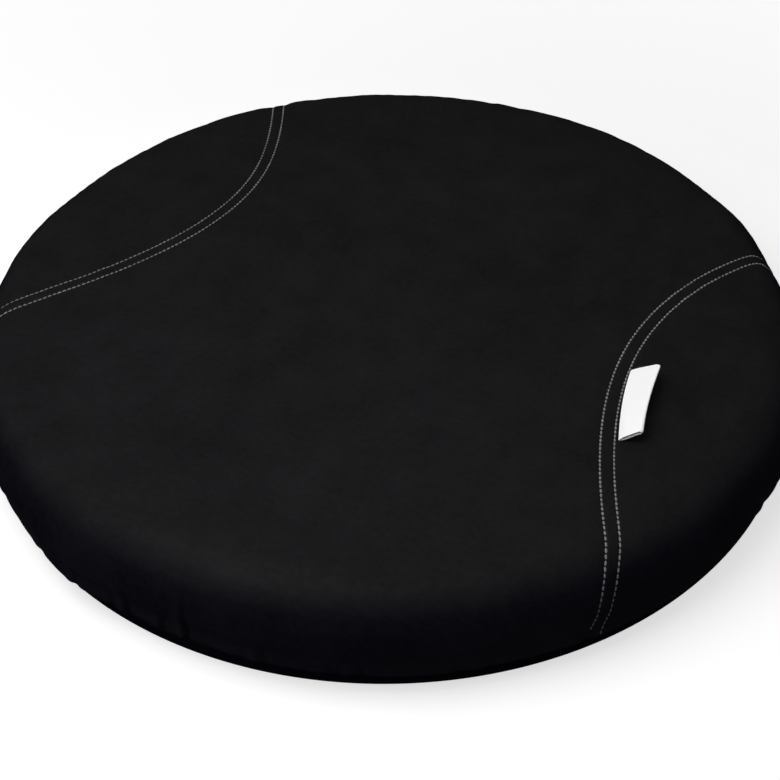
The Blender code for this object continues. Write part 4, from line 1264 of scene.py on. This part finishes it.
def make_mat():
    """Rubber mat: three grooves with softened lips, and a softened outer edge."""
    low, high = (corner.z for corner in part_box("grip_mat"))
    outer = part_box("grip_mat")[1].x
    groove = ((MAT_GROOVE_LIP, 0), (0, MAT_GROOVE_LIP), (-MAT_GROOVE_LIP, MAT_GROOVE_DEPTH))
    outline = [(0, high), (outer - EDGE_BEVEL, high), (outer, high - EDGE_BEVEL), (outer, low + 0.4 * MM),
               (outer - 0.15 * MM, low + 0.12 * MM), (outer - 0.45 * MM, low)]
    for middle in MAT_GROOVES:
        outline += [(middle + MAT_GROOVE_WIDTH / 2 + across, low + up) for across, up in groove]
        outline += [(middle - MAT_GROOVE_WIDTH / 2 - across, low + up) for across, up in groove[::-1]]
    outline.append((0, low))
    mat = turned("rubber_grip_mat", outline, BASE_STEPS, rubber_mat())
    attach(mat, "base")
    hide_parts("grip_mat")


def finish_nodes():
    """Finishes for the CAD nodes that keep their shape."""
    balls = ground_steel()
    zinc = plated_steel()
    finishes = {
        "turntable_plate": moulded_plastic("plate_moulding", grey(0.012), grey(0.04), 0.45, 0.4 * MM),
        "ball_cage": moulded_plastic("cage_moulding", grey(0.55, (1.0, 0.98, 0.92)),
                                     grey(0.74, (1.0, 0.985, 0.94)), 0.38, 0.5 * MM),
        "pivot_bush": moulded_plastic("bush_moulding", grey(0.62, (1.0, 0.98, 0.93)),
                                      grey(0.8, (1.0, 0.99, 0.95)), 0.32, 0.5 * MM),
        "pivot_bolt": zinc, "pivot_washer": zinc, "lock_nut": zinc}
    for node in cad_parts:
        obj = bpy.data.objects.get(node)
        material = balls if node.startswith("ball_") and node != "ball_cage" else finishes.get(node)
        if obj and material:
            for slot in obj.material_slots:
                slot.material = material


# Setting

def add_camera():
    data = bpy.data.cameras.new("photo_view")
    data.sensor_width = CAMERA_SENSOR
    data.lens = CAMERA_LENS
    forward = (CAMERA_AIM - CAMERA_PLACE).normalized()
    right = forward.cross(Vector((0, 0, 1))).normalized()
    up = right.cross(forward)
    x_axis = right * math.cos(CAMERA_ROLL) - up * math.sin(CAMERA_ROLL)
    y_axis = right * math.sin(CAMERA_ROLL) + up * math.cos(CAMERA_ROLL)
    camera = add_object("photo_view", data)
    facing = Matrix((x_axis, y_axis, -forward)).transposed()
    camera.matrix_world = Matrix.Translation(CAMERA_PLACE) @ facing.to_4x4()
    bpy.context.scene.camera = camera


def add_floor():
    """Pale floor that glows to white away from the object where the camera sees it, and keeps its shadow."""
    finish = Finish("pale_floor", specular=0.0)
    place = finish.place()
    tone = finish.noise(place, 3.0)
    finish.give("Base Color", finish.mix(tone, grey(0.5), grey(0.53)))
    finish.give("Roughness", 0.9 + 0.05 * tone)
    x, y, _ = finish.split(place)
    away = (((x * x + y * y) ** 0.5 - 0.3) / 0.9).clamped()
    shine = finish.mix(away, grey(0.62), grey(1.0))
    glow = finish.wire('ShaderNodeEmission', {"Color": shine, "Strength": 1.0})
    plain = Wire(finish, finish.shader.outputs[0])
    finish.show(plain, finish.wire('ShaderNodeAddShader', {0: plain, 1: glow}), "Material Output")
    corners = [(x * FLOOR_HALF, y * FLOOR_HALF, 0) for x, y in ((-1, -1), (1, -1), (1, 1), (-1, 1))]
    floor = make_object("floor", corners, [(0, 1, 2, 3)], finish.material)
    floor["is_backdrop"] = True


def add_world():
    world = bpy.data.worlds.new("studio")
    world.use_nodes = True
    bench = Bench(world.node_tree)
    dim = world.node_tree.nodes["Background"]
    dim.inputs["Color"].default_value = grey(1.0)
    dim.inputs["Strength"].default_value = WORLD_LIGHT
    white = bench.wire('ShaderNodeBackground', {"Color": grey(1.0), "Strength": 1.0})
    bench.show(Wire(bench, dim.outputs[0]), white, "World Output")
    bpy.context.scene.world = world


def add_lamp(name, place, aim, size, light_at_aim):
    """Square soft box. Its power gives the wanted light at its aim: 1 shows a colour as it is written."""
    place, aim = (Matrix.Rotation(CAMERA_AZIMUTH, 4, 'Z') @ Vector(spot) for spot in (place, aim))
    data = bpy.data.lights.new(name, 'AREA')
    data.shape = 'SQUARE'
    data.size = size
    away = place - aim
    data.energy = math.pi ** 2 * away.length_squared * light_at_aim
    lamp = add_object(name, data)
    lamp.matrix_world = Matrix.Translation(place) @ away.to_track_quat('Z', 'Y').to_matrix().to_4x4()


make_cover()
stitch_rows()
make_foam()
make_hem()
make_elastic()
make_label()
make_base()
make_mat()
finish_nodes()
add_camera()
add_floor()
add_world()
for lamp_name, values in LAMPS.items():
    add_lamp(lamp_name, *values)
bpy.context.scene.view_settings.view_transform = 'Standard'

{name: [list(corner) for corner in box] for name, box in (("cad", CAD_BOX), ("visual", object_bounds()))}
